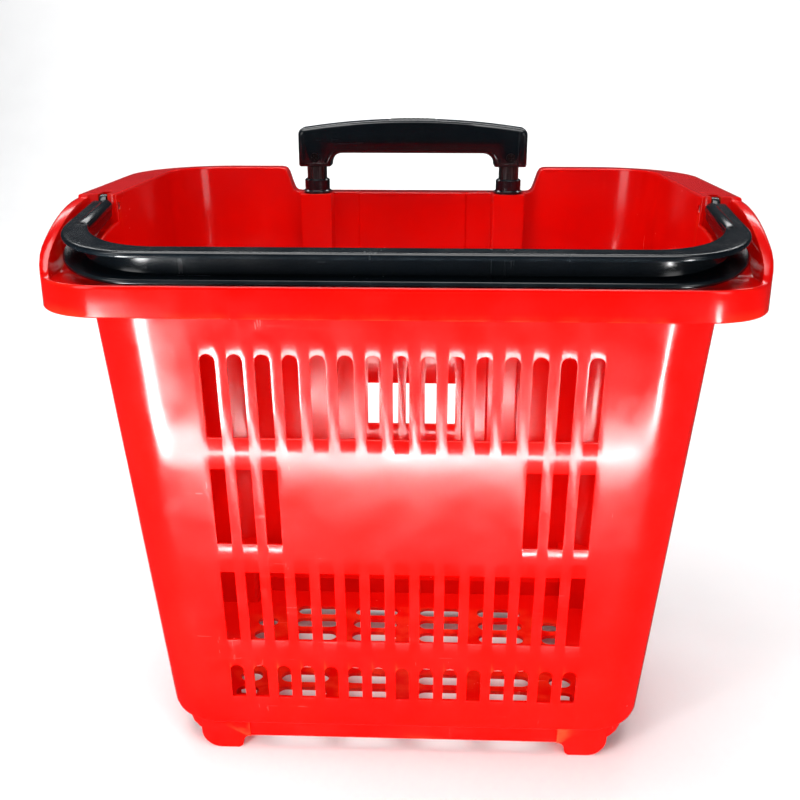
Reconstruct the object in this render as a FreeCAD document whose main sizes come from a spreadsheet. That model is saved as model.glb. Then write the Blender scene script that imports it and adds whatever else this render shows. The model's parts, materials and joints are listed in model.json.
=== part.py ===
"""Rolling shopping basket: moulded basket, folding carry handle, telescopic pull handle, two rear wheels.

Millimetres. +Z is up and +X is to the right of someone who faces the low front rim, which faces -Y.
The origin is on the ground, under the middle of the rim.
"""
import FreeCAD, Part
import math
import os
import Sketcher

SIZES = [
    # basket shell
    ("rim_width", 482), ("rim_depth", 335), ("rim_height", 440), ("front_height", 400),
    ("rim_arc_radius", 155), ("shoulder_front", -40.5), ("skirt_bottom", 379), ("skirt_wall", 2.5),
    ("front_corner_radius", 50), ("back_corner_radius", 80), ("lip_width", 8), ("front_lip", 2),
    ("wall", 3), ("wall_foot", 27), ("floor_top", 30), ("foot_curve", 6),
    ("half_width_low", 191), ("half_width_high", 216), ("front_low", -104), ("front_high", -157),
    ("back_low", 138), ("back_high", 152), ("body_corner_radius", 44),
    ("shelf_front", 397), ("shelf_arc_top", 414), ("inner_edge_arc_top", 420),
    ("notch_height", 418.5), ("notch_half_width", 107), ("notch_slope", 7),
    # slots in the walls and floor
    ("slot_pitch", 18.4), ("slot_width", 11), ("slot_height", 63), ("low_slot_height", 32),
    ("row_pitch", 87), ("top_row", 350), ("slot_columns", 15),
    ("floor_slot_length", 41), ("floor_slot_width", 14.5), ("floor_column_pitch", 55), ("floor_row_pitch", 21.9), ("floor_row_start", -84.5),
    # underside, feet and wheels
    ("under_skirt_foot", 11), ("under_skirt_inset", 9), ("tunnel_front", 105), ("tunnel_top", 45),
    ("foot_inner", 129), ("foot_width", 35), ("foot_depth", 40),
    ("wheel_radius", 32), ("wheel_width", 20), ("wheel_x", 163), ("wheel_y", 122), ("rim_radius", 25),
    ("axle_radius", 4), ("wheel_play", 0.08), ("arch_clearance", 6),
    # carry handle
    ("bail_half_width", 228.5), ("bail_front", -165), ("bail_bar", 14), ("bail_corner_radius", 60),
    ("bail_web", 3.5), ("bail_flange", 4), ("bail_low_front", 399.3), ("bail_top_front", 420.8),
    ("bail_low_back", 424.5), ("bail_top_back", 436.5), ("bail_back", -48),
    ("pivot_y", -36), ("pivot_height", 431), ("eye_radius", 8.5), ("eye_thickness", 5.5), ("pivot_radius", 3),
    ("pivot_play", 0.08), ("eye_gap", 0.7),
    # telescopic pull handle
    ("tube_x", 86.3), ("tube_y", 146), ("outer_radius", 10.25), ("outer_bore", 9.4), ("outer_foot", 48),
    ("inner_radius", 8.9), ("inner_bore", 7.7), ("inner_foot", 66), ("inner_top", 462), ("guide_play", 0.08),
    ("collar_radius", 11.2), ("collar_top", 431), ("collar_foot", 406),
    ("grip_width", 203), ("grip_depth", 28), ("leg_width", 29), ("leg_foot", 442), ("bar_foot", 454),
    ("grip_shoulder", 475), ("grip_arch", 8), ("grip_wall", 3), ("button_width", 42), ("button_play", 0.4),
    ("screw_x", 87), ("screw_height", 450.5), ("screw_radius", 2), ("screw_head", 3.8),
    ("rod_offset", 5), ("rod_radius", 2), ("rod_foot", 64.5), ("yoke_foot", 467.5), ("yoke_height", 4),
    ("pin_height", 57), ("pin_radius", 2.5), ("bush_foot", 48.5), ("bush_top", 78), ("travel", 300),
    ("clamp_foot", 322), ("bracket_screw_height", 60),
]

doc = FreeCAD.newDocument("rolling_basket")
sizes = doc.addObject("Spreadsheet::Sheet", "sizes")
for row, (alias, number) in enumerate(SIZES, start=1):
    sizes.set(f"A{row}", str(number))
    sizes.setAlias(f"A{row}", alias)
doc.recompute()

NODES = []
ALIASES = sorted((alias for alias, number in SIZES), key=len, reverse=True)
X_AXIS = FreeCAD.Vector(1, 0, 0)
Y_AXIS = FreeCAD.Vector(0, 1, 0)
Z_AXIS = FreeCAD.Vector(0, 0, 1)
ALONG_X = FreeCAD.Rotation(Y_AXIS, 90)
ALONG_Y = FreeCAD.Rotation(X_AXIS, -90)
ALONG_Z = FreeCAD.Rotation()


def number_of(expression):
    """The value of an expression over the sheet's aliases."""
    return float(sheet_value(expression))


def sheet_value(expression):
    """Let the sheet's own expression engine work out a value."""
    value = sizes.evalExpression(with_sheet(expression))
    return getattr(value, "Value", value)


def with_sheet(expression):
    """Put the sheet's name before each alias in an expression."""
    words = []
    word = ""
    for letter in str(expression) + " ":
        if letter.isalnum() or letter in "_.":
            word += letter
            continue
        words.append(f"sizes.{word}" if word in ALIASES else word)
        words.append(letter)
        word = ""
    return "".join(words).strip()


def bind(thing, **expressions):
    """Bind properties of a document object to the sheet."""
    for name, expression in expressions.items():
        thing.setExpression(name, with_sheet(expression))


def place(thing, x="0", y="0", z="0", rotation=None):
    """Give an object its rotation and bind its position to the sheet."""
    if rotation is not None:
        thing.Placement = FreeCAD.Placement(FreeCAD.Vector(), rotation)
    for axis, expression in (("x", x), ("y", y), ("z", z)):
        if str(expression) != "0":
            thing.setExpression(f"Placement.Base.{axis}", with_sheet(expression))


def box(name, x, y, z):
    """A block between two bounds, each an expression, on each axis."""
    block = doc.addObject("Part::Box", name)
    bind(block, Length=f"({x[1]}) - ({x[0]})", Width=f"({y[1]}) - ({y[0]})", Height=f"({z[1]}) - ({z[0]})")
    place(block, x[0], y[0], z[0])
    return block


def rod(name, radius, length, x, y, z, rotation=ALONG_Z):
    """A round bar that starts at x, y, z."""
    bar = doc.addObject("Part::Cylinder", name)
    bind(bar, Radius=radius, Height=length)
    place(bar, x, y, z, rotation)
    return bar


def cut(name, base, tool):
    """Base without tool."""
    result = doc.addObject("Part::Cut", name)
    result.Base = base
    result.Tool = tool
    return result


def common(name, first, second):
    """What two solids share."""
    result = doc.addObject("Part::Common", name)
    result.Base = first
    result.Tool = second
    return result


def fuse(name, *shapes):
    """Several solids as one."""
    result = doc.addObject("Part::MultiFuse", name)
    result.Shapes = list(shapes)
    result.Refine = True
    return result


def compound(name, *shapes):
    """Separate solids kept in one object."""
    result = doc.addObject("Part::Compound", name)
    result.Links = list(shapes)
    return result


def round_edges(name, base, chosen):
    """Fillet the edges for which chosen(edge) gives a radius above zero."""
    doc.recompute()
    result = doc.addObject("Part::Fillet", name)
    result.Base = base
    picked = []
    for number, edge in enumerate(base.Shape.Edges, start=1):
        radius = chosen(edge)
        if radius:
            picked.append((number, radius, radius))
    result.Edges = picked
    return result


def upright(front_radius, back_radius):
    """Choose near-vertical edges, with one radius at the front and one at the back."""
    def radius_of(edge):
        first, last = edge.Vertexes[0].Point, edge.Vertexes[-1].Point
        if abs(last.z - first.z) < 0.9 * edge.Length:
            return 0
        return front_radius if first.y + last.y < 0 else back_radius
    return radius_of


def keep(thing, label):
    """Name a finished sub-part and list it for writing."""
    thing.Label = label
    NODES.append(thing)
    return thing


def new_body(name, x="0", y="0", z="0"):
    """An empty PartDesign body at a bound position."""
    body = doc.addObject("PartDesign::Body", name)
    place(body, x, y, z)
    return body


def new_sketch(body, name, role):
    """A sketch on one of the body's own origin planes."""
    sketch = body.newObject("Sketcher::SketchObject", name)
    plane = [feature for feature in body.Origin.OriginFeatures if feature.Role == role][0]
    sketch.AttachmentSupport = [(plane, "")]
    sketch.MapMode = "FlatFace"
    return sketch


def outline(sketch, corners, arcs=None):
    """Draw a closed outline whose corners are bound to the sheet.

    arcs maps the number of a corner to (radius expression, mid-point) for the arc that leaves it.
    """
    arcs = arcs or {}
    count = len(corners)
    values = [(number_of(x), number_of(y)) for x, y in corners]
    points = [FreeCAD.Vector(x, y, 0) for x, y in values]
    first = sketch.GeometryCount
    for index in range(count):
        start, end = points[index], points[(index + 1) % count]
        if index in arcs:
            middle = FreeCAD.Vector(number_of(arcs[index][1][0]), number_of(arcs[index][1][1]), 0)
            sketch.addGeometry(Part.Arc(start, middle, end), False)
        else:
            sketch.addGeometry(Part.LineSegment(start, end), False)
    starts = []
    for index in range(count):
        circle = sketch.Geometry[first + index]
        leaves_at_start = (circle.StartPoint - points[index]).Length < 1e-6
        starts.append(1 if leaves_at_start else 2)
    for index in range(count):
        following = (index + 1) % count
        sketch.addConstraint(Sketcher.Constraint(
            "Coincident", first + index, 3 - starts[index], first + following, starts[following]))
    for index in range(count):
        for axis, kind in enumerate(("DistanceX", "DistanceY")):
            constraint = sketch.addConstraint(Sketcher.Constraint(
                kind, -1, 1, first + index, starts[index], values[index][axis]))
            sketch.setExpression(f"Constraints[{constraint}]", with_sheet(corners[index][axis]))
        if index in arcs:
            constraint = sketch.addConstraint(Sketcher.Constraint(
                "Radius", first + index, sketch.Geometry[first + index].Radius))
            sketch.setExpression(f"Constraints[{constraint}]", with_sheet(arcs[index][0]))


def circle_at(sketch, x, y, radius):
    """Draw a circle whose centre and radius are bound to the sheet."""
    centre = FreeCAD.Vector(number_of(x), number_of(y), 0)
    index = sketch.addGeometry(Part.Circle(centre, Z_AXIS, number_of(radius)), False)
    for kind, value, expression in (("DistanceX", centre.x, x), ("DistanceY", centre.y, y)):
        constraint = sketch.addConstraint(Sketcher.Constraint(kind, -1, 1, index, 3, value))
        sketch.setExpression(f"Constraints[{constraint}]", with_sheet(expression))
    constraint = sketch.addConstraint(Sketcher.Constraint("Radius", index, number_of(radius)))
    sketch.setExpression(f"Constraints[{constraint}]", with_sheet(radius))


def pad(body, name, sketch, length, reversed_way=False, both_ways=False):
    """Raise a sketch into a solid."""
    feature = body.newObject("PartDesign::Pad", name)
    feature.Profile = sketch
    feature.setExpression("Length", with_sheet(length))
    feature.Reversed = reversed_way
    feature.SideType = "Symmetric" if both_ways else "One side"
    return feature


def pocket(body, name, sketch, length, reversed_way=False, both_ways=False):
    """Sink a sketch into the body."""
    feature = body.newObject("PartDesign::Pocket", name)
    feature.Profile = sketch
    feature.setExpression("Length", with_sheet(length))
    feature.Reversed = reversed_way
    feature.SideType = "Symmetric" if both_ways else "One side"
    return feature


def turned(name, corners, x="0", y="0", z="0"):
    """A body turned round its own Z axis from a half section of (radius, height) corners."""
    body = new_body(name, x, y, z)
    sketch = new_sketch(body, f"{name}_section", "XZ_Plane")
    outline(sketch, corners)
    feature = body.newObject("PartDesign::Revolution", f"{name}_turn")
    feature.Profile = sketch
    feature.ReferenceAxis = (sketch, ["V_Axis"])
    feature.Angle = 360
    return body


# ---------------------------------------------------------------- basket shell
HALF = "rim_width / 2"
FRONT = "-rim_depth / 2"
BACK = "rim_depth / 2"


def rim_prism(name, inset, foot, top, front=None):
    """An upright prism with the rim's plan outline, drawn in by inset."""
    block = box(f"{name}_block", (f"-{HALF} + {inset}", f"{HALF} - {inset}"),
                (front or f"{FRONT} + {inset}", f"{BACK} - {inset}"), (foot, top))
    inset_mm = number_of(inset)
    return round_edges(name, block, upright(number_of("front_corner_radius") - inset_mm,
                                            number_of("back_corner_radius") - inset_mm))


def at_height(low, high, height):
    """A wall position at a height, between its values at the wall's foot and at the rim."""
    return f"(({low}) + (({high}) - ({low})) * (({height}) - wall_foot) / (rim_height - wall_foot))"


def wall_prism(name, inset, foot, top, corner_radius, foot_radius=0):
    """The tapered prism of the walls, drawn in by inset, with its foot rounded if asked."""
    wedge = doc.addObject("Part::Wedge", f"{name}_wedge")
    ends = {"": foot, "2": top}
    bind(wedge, Ymin=foot, Ymax=top)
    for mark, height in ends.items():
        side = f"{at_height('half_width_low', 'half_width_high', height)} - ({inset})"
        front = f"{at_height('front_low', 'front_high', height)} + ({inset})"
        back = f"{at_height('back_low', 'back_high', height)} - ({inset})"
        bind(wedge, **{f"X{mark}min": f"-({side})", f"X{mark}max": side,
                       f"Z{mark}min": f"-({back})", f"Z{mark}max": f"-({front})"})
    wedge.Placement = FreeCAD.Placement(FreeCAD.Vector(), FreeCAD.Rotation(X_AXIS, 90))
    prism = round_edges(f"{name}_prism", wedge, upright(corner_radius, corner_radius))
    if not foot_radius:
        return prism
    foot_height = number_of(foot)

    def foot_edge(edge):
        return foot_radius if all(abs(vertex.Z - foot_height) < 0.01 for vertex in edge.Vertexes) else 0
    return round_edges(name, prism, foot_edge)


def rim_envelope(name, arc_top, front_top, back_top, back_start, back_end="200"):
    """Everything under the rim line: level front, an arc up to the shoulder, level back."""
    parts = [box(f"{name}_front", ("-260", "260"), ("-200", "200"), ("0", front_top))]
    parts.append(rod(f"{name}_arc", "rim_arc_radius", "520", "-260", "shoulder_front",
                     f"({arc_top}) - rim_arc_radius", ALONG_X))
    if back_top:
        parts.append(box(f"{name}_back", ("-260", "260"), (back_start, back_end), ("0", back_top)))
    return fuse(name, *parts)


def notch_block(name, half_width, foot):
    """The low part of the back rim, under the pull handle, with sloping cheeks."""
    wedge = doc.addObject("Part::Wedge", name)
    top = "(rim_height + 5)"
    slope = "notch_slope * (rim_height + 5 - notch_height) / (rim_height - notch_height)"
    bind(wedge, Ymin=foot, Ymax=top, Zmin="-200", Zmax="-100", Z2min="-200", Z2max="-100",
         Xmin=f"-({half_width})", Xmax=half_width,
         X2min=f"-({half_width}) - {slope}", X2max=f"({half_width}) + {slope}")
    wedge.Placement = FreeCAD.Placement(FreeCAD.Vector(), FreeCAD.Rotation(X_AXIS, 90))
    return wedge


def slot(name, across, low, high, lip, width="slot_width", rounded=False, side_wall=0):
    """One slot cutter: through the front wall, the back wall or, with side_wall, a side wall."""
    half = f"{width} / 2"
    straight = f"({high}) - {half}" if rounded else high
    if side_wall:
        reach = ("150", "232") if side_wall > 0 else ("-232", "-150")
        block = box(name, reach, (f"({across}) - {half}", f"({across}) + {half}"), (low, straight))
        if not rounded:
            return [block]
        return [block, rod(f"{name}_top", half, "82", reach[0], across, straight, ALONG_X)]
    block = box(name, (f"({across}) - {half}", f"({across}) + {half}"), lip, (low, straight))
    if not rounded:
        return [block]
    return [block, rod(f"{name}_top", half, f"({lip[1]}) - ({lip[0]})", across, lip[0], straight, ALONG_Y)]


def wall_slots():
    """Cutters for the slot rows of the front, the sides and the back."""
    cutters = []
    columns = int(number_of("slot_columns"))
    middle = (columns - 1) / 2
    front_reach = ("-165", "-85")
    back_reach = ("120", "160")
    rows = [(0, "slot_height", True), (1, "slot_height", False), (2, "slot_height", False),
            (3, "low_slot_height", True)]
    for row, height, rounded in rows:
        high = f"top_row - {row} * row_pitch"
        low = f"{high} - {height}"
        for column in range(columns):
            across = f"{column - middle} * slot_pitch"
            if row == 1 and 3 <= column < columns - 3:
                continue
            cutters += slot(f"front_slot_{row}_{column}", across, low, high, front_reach, rounded=rounded)
        side_columns = range(-4, 6)
        for column in side_columns:
            if row == 1 and -2 < column < 3:
                continue
            if row == 3 and column > 3:
                continue
            across = f"{column} * slot_pitch"
            for side, word in ((1, "right"), (-1, "left")):
                cutters += slot(f"{word}_slot_{row}_{column + 4}", across, low, high, None,
                                rounded=rounded, side_wall=side)
    for row, height in ((1, "42"), (2, "slot_height")):
        high = f"top_row - 25 - {row} * row_pitch" if row == 1 else f"top_row - {row} * row_pitch"
        for column in range(-2, 3):
            cutters += slot(f"back_slot_{row}_{column + 2}", f"{column} * slot_pitch", f"{high} - {height}",
                            high, back_reach)
    return compound("wall_slots", *cutters)


def floor_slots():
    """Cutters for the floor's slots: four long columns and a short one beside each wall."""
    cutters = []
    columns = [(f"{side} * floor_column_pitch * {step}", "floor_slot_length")
               for side in (-1, 1) for step in (0.56, 1.56)]
    columns += [(f"{side} * floor_column_pitch * 2.4", "floor_slot_length / 2.2") for side in (-1, 1)]
    for row in range(8):
        across = f"floor_row_start + {row} * floor_row_pitch"
        for column, (middle, length) in enumerate(columns):
            if row == 7 and column > 3:
                continue
            name = f"floor_slot_{row}_{column}"
            half = f"({length}) / 2 - floor_slot_width / 2"
            depth = ("floor_top - 6", "floor_top + 3")
            cutters.append(box(name, (f"{middle} - ({half})", f"{middle} + ({half})"),
                               (f"{across} - floor_slot_width / 2", f"{across} + floor_slot_width / 2"), depth))
            for end, sign in (("low", "-"), ("high", "+")):
                cutters.append(rod(f"{name}_{end}", "floor_slot_width / 2", "9", f"{middle} {sign} ({half})",
                                   across, depth[0]))
    return fuse("floor_slots", *cutters)


def basket_body():
    """The one-piece moulded basket."""
    corner = number_of("body_corner_radius")
    wall = number_of("wall")
    rim_top = fuse_free_envelope()
    rim_block = common("rim_solid", rim_prism("rim_outer", "0", "skirt_bottom", "rim_height"), rim_top)
    curve = number_of("foot_curve")
    wall_outer = wall_prism("wall_outer", "0", "wall_foot", "rim_height", corner, curve)
    wall_block = common("wall_solid", wall_outer, rim_top)
    channels = [box(f"tube_channel_{word}", (f"{side} * tube_x - 14", f"{side} * tube_x + 14"),
                    ("130", "back_high"), ("wall_foot", "notch_height")) for side, word in SIDES]
    shoulder_blocks = [box(f"shoulder_block_{word}", bounds(side, "213", "237"), ("shoulder_front", "-22"),
                           ("shelf_arc_top", "rim_height")) for side, word in SIDES]
    arches = [box(f"arch_{word}", bounds(side, "147", "205"), ("81", "160"), ("wall_foot", "73"))
              for side, word in SIDES]
    tunnel = box("tunnel_block", ("-150", "150"), ("tunnel_front", "160"), ("wall_foot", "tunnel_top"))
    panel = cut("back_panel", box("back_panel_block", ("-48", "48"), ("120", "160"), ("wall_foot", "notch_height")),
                wall_prism("back_panel_face", "wall + 1.5", "wall_foot", "rim_height", corner - wall - 1.5))
    inner_solids = common("inner_fittings", fuse("inner_blocks", tunnel, panel, *channels, *arches), wall_outer)

    inner_prism = wall_prism("wall_inner", "wall", "floor_top", "rim_height + 2", corner - wall, curve - wall)
    cavity = cut("cavity", inner_prism, inner_solids)
    tunnel_space = common("tunnel_space", wall_prism("wall_under", "wall", "wall_foot - 1", "tunnel_top - wall",
                                                     corner - wall),
                          box("tunnel_hollow", ("-147", "147"), ("tunnel_front + wall", "160"),
                              ("0", "tunnel_top - wall")))

    lip_region = rim_prism("lip_inner", "lip_width", "shelf_front - 1", "rim_height + 2",
                           front=f"{FRONT} + front_lip")
    ahead = box("ahead_of_shoulder", ("-260", "260"), ("-200", "shoulder_front"), ("0", "rim_height + 5"))
    shelf_line = rim_envelope("shelf_line", "shelf_arc_top", "shelf_front", None, None)
    inner_edge_line = rim_envelope("inner_edge_line", "inner_edge_arc_top", "shelf_front + 1", None, None)
    recess_block = cut("recess_block", common("recess_region", lip_region, ahead), shelf_line)
    recess = cut("recess", recess_block, common("inner_edge", wall_outer, inner_edge_line))

    under_shelf = rim_envelope("under_shelf", "shelf_arc_top - wall", "shelf_front - wall", None, None)
    under_ahead = common("under_ahead", under_shelf,
                         box("under_ahead_block", ("-260", "260"), ("-200", "shoulder_front + wall"),
                             ("skirt_bottom - 1", "rim_height")))
    under_back = cut("under_back", box("under_back_block", ("-260", "260"), ("shoulder_front + wall", "200"),
                                       ("skirt_bottom - 1", "rim_height - wall")),
                     notch_block("notch_under", "notch_half_width + wall", "notch_height - wall"))
    under_region = cut("under_region", rim_prism("rim_inner", "skirt_wall", "skirt_bottom - 1", "rim_height"),
                       wall_outer)
    under_rim = common("under_rim", under_region, fuse("under_line", under_ahead, under_back))
    lip_hollow = cut("lip_hollow", rim_prism("lip_hollow_outer", "skirt_wall", "skirt_bottom - 1", "rim_height"),
                     rim_prism("lip_hollow_inner", "lip_width - skirt_wall", "0", "rim_height + 5"))
    lip_under = common("lip_under", lip_hollow, common(
        "lip_line", rim_envelope("lip_under_line", "rim_height - 2 - wall", "front_height - wall", None, None),
        box("lip_ahead", ("-260", "260"), ("-200", "shoulder_front"), ("0", "rim_height"))))

    shell = cut("shell", fuse("solid_basket", rim_block, wall_block),
                fuse("shell_hollows", cavity, tunnel_space, recess, under_rim, lip_under))
    underside = underside_frame()
    joined = fuse("joined_shell", shell, *shoulder_blocks, *underside)

    holes = [wall_slots(), floor_slots()]
    for side, word in SIDES:
        holes.append(box(f"wheel_space_{word}", bounds(side, "150", "184"), ("84", "170"), ("-5", "70")))
        holes.append(box(f"tube_space_{word}", (f"{side} * tube_x - 11.2", f"{side} * tube_x + 11.2"),
                         ("134", f"{BACK} - skirt_wall - 0.5"), ("tunnel_top + 1", "notch_height - wall")))
        for step in (-1, 1):
            holes.append(rod(f"clamp_screw_hole_{word}_{step + 1}", "1.8", "20", f"{side} * tube_x + {step} * 18",
                             "135", "clamp_foot + 12", ALONG_Y))
            holes.append(rod(f"socket_screw_hole_{word}_{step + 1}", "1.8", "20",
                             f"{side} * tube_x + {step} * 15.5", "128", "bracket_screw_height", ALONG_Y))
        holes.append(rod(f"collar_hole_{word}", "collar_radius + 0.8", "30", f"{side} * tube_x", "tube_y",
                         "notch_height - 20"))
        holes.append(box(f"eye_slot_{word}", bounds(side, "222.75 - eye_thickness / 2 - eye_gap",
                                                    "222.75 + eye_thickness / 2 + eye_gap"),
                         ("shoulder_front - 1", "pivot_y + eye_radius + 1"),
                         ("pivot_height - eye_radius - 1.5", "rim_height + 2")))
        holes.append(rod(f"pivot_hole_{word}", "pivot_radius", "24", low_end(side, "212", "236"), "pivot_y",
                         "pivot_height", ALONG_X))
    holes.append(rod("axle_hole", "axle_radius", "360", "-180", "wheel_y", "wheel_radius", ALONG_X))
    return keep(cut("basket_body", joined, fuse("all_holes", *holes)), "basket_body")


SIDES = ((-1, "left"), (1, "right"))


def bounds(side, inner, outer):
    """Bounds on X of something between two distances from the middle, on one side."""
    return (inner, outer) if side > 0 else (f"-({outer})", f"-({inner})")


def low_end(side, inner, outer):
    """The lower X bound of something between two distances from the middle."""
    return bounds(side, inner, outer)[0]


def fuse_free_envelope():
    """The rim line with the low notch under the pull handle taken out."""
    whole = rim_envelope("rim_line", "rim_height - 2", "front_height", "rim_height", "shoulder_front")
    return cut("rim_line_notched", whole, notch_block("notch", "notch_half_width", "notch_height"))


def underside_frame():
    """The recessed skirt under the floor, the axle's ribs and cheeks, and the two front feet."""
    low = "under_skirt_foot"
    top = "floor_top - 0.5"
    front = at_height("front_low", "front_high", "wall_foot") + " + under_skirt_inset"
    side = "half_width_low - under_skirt_inset"
    outer = box("under_skirt_outer", (f"-({side})", side), (front, "tunnel_front + wall"), (low, top))
    outer = round_edges("under_skirt_round", outer, upright(40, 20))
    inner = box("under_skirt_inner", (f"-({side}) + wall", f"{side} - wall"),
                (f"{front} + wall", "tunnel_front"), (f"{low} - 1", top))
    inner = round_edges("under_skirt_inner_round", inner, upright(37, 17))
    pieces = [cut("under_skirt", outer, inner)]
    for place_x in (-60, 60):
        pieces.append(box(f"axle_rib_{place_x + 60}", (f"{place_x} - 2.5", f"{place_x} + 2.5"),
                          ("tunnel_front + 1", "wheel_y + 9"), ("wheel_radius - 9", "tunnel_top - 1")))
    for side_sign, word in SIDES:
        pieces.append(box(f"axle_cheek_{word}", bounds(side_sign, "144", "150"), ("wheel_y - 12", "wheel_y + 12"),
                          ("wheel_radius - 10", "tunnel_top - 1")))
        block = box(f"foot_block_{word}", bounds(side_sign, "foot_inner", "foot_inner + foot_width"),
                    (f"{front} - 2", f"{front} - 2 + foot_depth"), ("0", top))
        pieces.append(round_edges(f"front_foot_{word}", block, foot_rounding))
    return pieces


def foot_rounding(edge):
    """The outer bottom edge of a foot is well rounded, the inner one less."""
    first, last = edge.Vertexes[0].Point, edge.Vertexes[-1].Point
    if abs(first.z) > 0.01 or abs(last.z) > 0.01 or abs(last.y - first.y) < 1:
        return 0
    return 16 if abs(first.x) > number_of("foot_inner") + 1 else 7


# ---------------------------------------------------------------- carry handle
def bail_plan(name, outset, front, foot, top):
    """The plan of the carry handle as a U-shaped prism, from its outer edge drawn in by outset."""
    radius = number_of("bail_corner_radius")
    block = box(f"{name}_block", (f"-bail_half_width + ({outset})", f"bail_half_width - ({outset})"),
                (front, "60"), (foot, top))

    def front_corner(edge):
        first, last = edge.Vertexes[0].Point, edge.Vertexes[-1].Point
        return radius if abs(last.z - first.z) > 1 and first.y < 0 else 0
    return round_edges(name, block, front_corner)


def bail_profile(name, inset, back, reach):
    """The side view of the carry handle: tall at the front bar, slim at the pivots."""
    body = new_body(name)
    sketch = new_sketch(body, f"{name}_sketch", "YZ_Plane")
    outline(sketch, [("bail_front - 5", f"bail_low_front + ({inset}) - 1.07"),
                     (back, f"bail_low_back + ({inset})"),
                     (back, f"bail_top_back - ({inset})"),
                     ("bail_front - 5", f"bail_top_front - ({inset}) - 0.67")])
    pad(body, f"{name}_pad", sketch, reach, both_ways=True)
    return body


def carry_handle():
    """The folding carry handle: an outward-facing channel with an eye at each end."""
    outer = bail_plan("bail_outer", "0", "bail_front", "380", "450")
    inner = bail_plan("bail_inner", "bail_bar", "bail_front + bail_bar", "370", "460")
    solid = common("bail_solid", cut("bail_ring", outer, inner),
                   bail_profile("bail_side", "0", "bail_back", "500"))
    past = bail_plan("bail_past", "-3", "bail_front - 3", "381", "449")
    web = bail_plan("bail_web_line", "bail_bar - bail_web", "bail_front + bail_bar - bail_web", "370", "460")
    hollow = common("bail_hollow", cut("bail_hollow_ring", past, web),
                    bail_profile("bail_side_hollow", "bail_flange", "bail_back - 10", "520"))
    pieces = [cut("bail_channel", solid, hollow)]
    for side, word in SIDES:
        middle = f"{side} * 222.75"
        pieces.append(box(f"tongue_{word}", (f"{middle} - eye_thickness / 2", f"{middle} + eye_thickness / 2"),
                          ("bail_back - 4", "pivot_y"), ("pivot_height - 5.5", "pivot_height + 5")))
        pieces.append(rod(f"eye_{word}", "eye_radius", "eye_thickness", f"{middle} - eye_thickness / 2",
                          "pivot_y", "pivot_height", ALONG_X))
    holes = [rod(f"eye_bore_{word}", "pivot_radius + pivot_play", "12", f"{side} * 222.75 - 6", "pivot_y",
                 "pivot_height", ALONG_X) for side, word in SIDES]
    keep(cut("carry_handle", fuse("bail_with_eyes", *pieces), compound("eye_bores", *holes)), "carry_handle")
    for side, word in SIDES:
        pin = rod(f"pivot_pin_{word}", "pivot_radius", "22", low_end(side, "213", "235"), "pivot_y",
                  "pivot_height", ALONG_X)
        keep(pin, f"pivot_pin_{word}")


# ---------------------------------------------------------------- pull handle
def tube(label, side, outer, bore, foot, top):
    """A round tube of the pull handle, made as two concentric bars."""
    x = f"{side} * tube_x"
    skin = rod(f"{label}_skin", outer, f"{top} - {foot}", x, "tube_y", foot)
    core = rod(f"{label}_core", bore, f"{top} - {foot} + 2", x, "tube_y", f"{foot} - 1")
    return cut(label, skin, core)


def outer_tubes():
    """Fixed tubes with their top collars, clamps and bottom sockets."""
    for side, word in SIDES:
        x = f"{side} * tube_x"
        fixed = tube(f"outer_{word}", side, "outer_radius", "outer_bore", "outer_foot", "(collar_top - 14)")
        lock_hole = rod(f"lock_hole_{word}", "pin_radius + 0.5", "14", low_end(side, "tube_x", "tube_x + 14"),
                        "tube_y", "pin_height + travel", ALONG_X)
        keep(cut(f"outer_tube_{word}", fixed, lock_hole), f"outer_tube_{word}")
        collar = turned(f"collar_{word}", [
            ("outer_radius", "collar_foot"), ("collar_radius + 0.5", "collar_foot"),
            ("collar_radius + 0.5", "notch_height"), ("collar_radius + 1.6", "notch_height"),
            ("collar_radius + 1.6", "notch_height + 2"), ("collar_radius", "notch_height + 3"),
            ("collar_radius", "collar_top - 1"), ("collar_radius - 1", "collar_top"),
            ("inner_radius + guide_play", "collar_top"), ("inner_radius + guide_play", "collar_top - 14"),
            ("outer_radius", "collar_top - 14")], x, "tube_y")
        keep(collar, f"tube_collar_{word}")
        clamp = box(f"clamp_block_{word}", (f"{x} - 22", f"{x} + 22"), ("140", "tube_y + outer_radius + 3"),
                    ("clamp_foot", "clamp_foot + 24"))
        clamp = round_edges(f"clamp_round_{word}", clamp, upright(1, 3))
        channel = box(f"clamp_channel_{word}", (f"{x} - 14.2", f"{x} + 14.2"), ("120", "tube_y"), ("300", "360"))
        bore = rod(f"clamp_bore_{word}", "outer_radius", "60", x, "tube_y", "300")
        holes = [rod(f"clamp_hole_{word}_{step}", "1.9", "40", f"{x} + {step} * 18", "130", "clamp_foot + 12", ALONG_Y)
                 for step in (-1, 1)]
        keep(cut(f"tube_clamp_{word}", clamp, fuse(f"clamp_tools_{word}", channel, bore, *holes,
                                                   doc.getObject("wall_outer"))), f"tube_clamp_{word}")
        socket = box(f"socket_block_{word}", (f"{x} - 20", f"{x} + 20"), ("134.5", "tube_y + outer_radius + 3"),
                     ("tunnel_top + 1", "74"))
        socket = round_edges(f"socket_round_{word}", socket, upright(0, 6))
        bore = rod(f"socket_bore_{word}", "outer_radius", "40", x, "tube_y", "outer_foot")
        key = box(f"socket_key_{word}", (f"{x} - 10.8", f"{x} + 10.8"), ("134.5", "160"), ("0", "100"))
        holes = [rod(f"socket_hole_{word}_{step}", "1.9", "40", f"{x} + {step} * 15.5", "130",
                     "bracket_screw_height", ALONG_Y) for step in (-1, 1)]
        keep(cut(f"tube_socket_{word}", socket, fuse(f"socket_tools_{word}", bore, *holes,
                                                    cut(f"socket_relief_{word}", doc.getObject("wall_outer"), key))),
             f"tube_socket_{word}")


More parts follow.
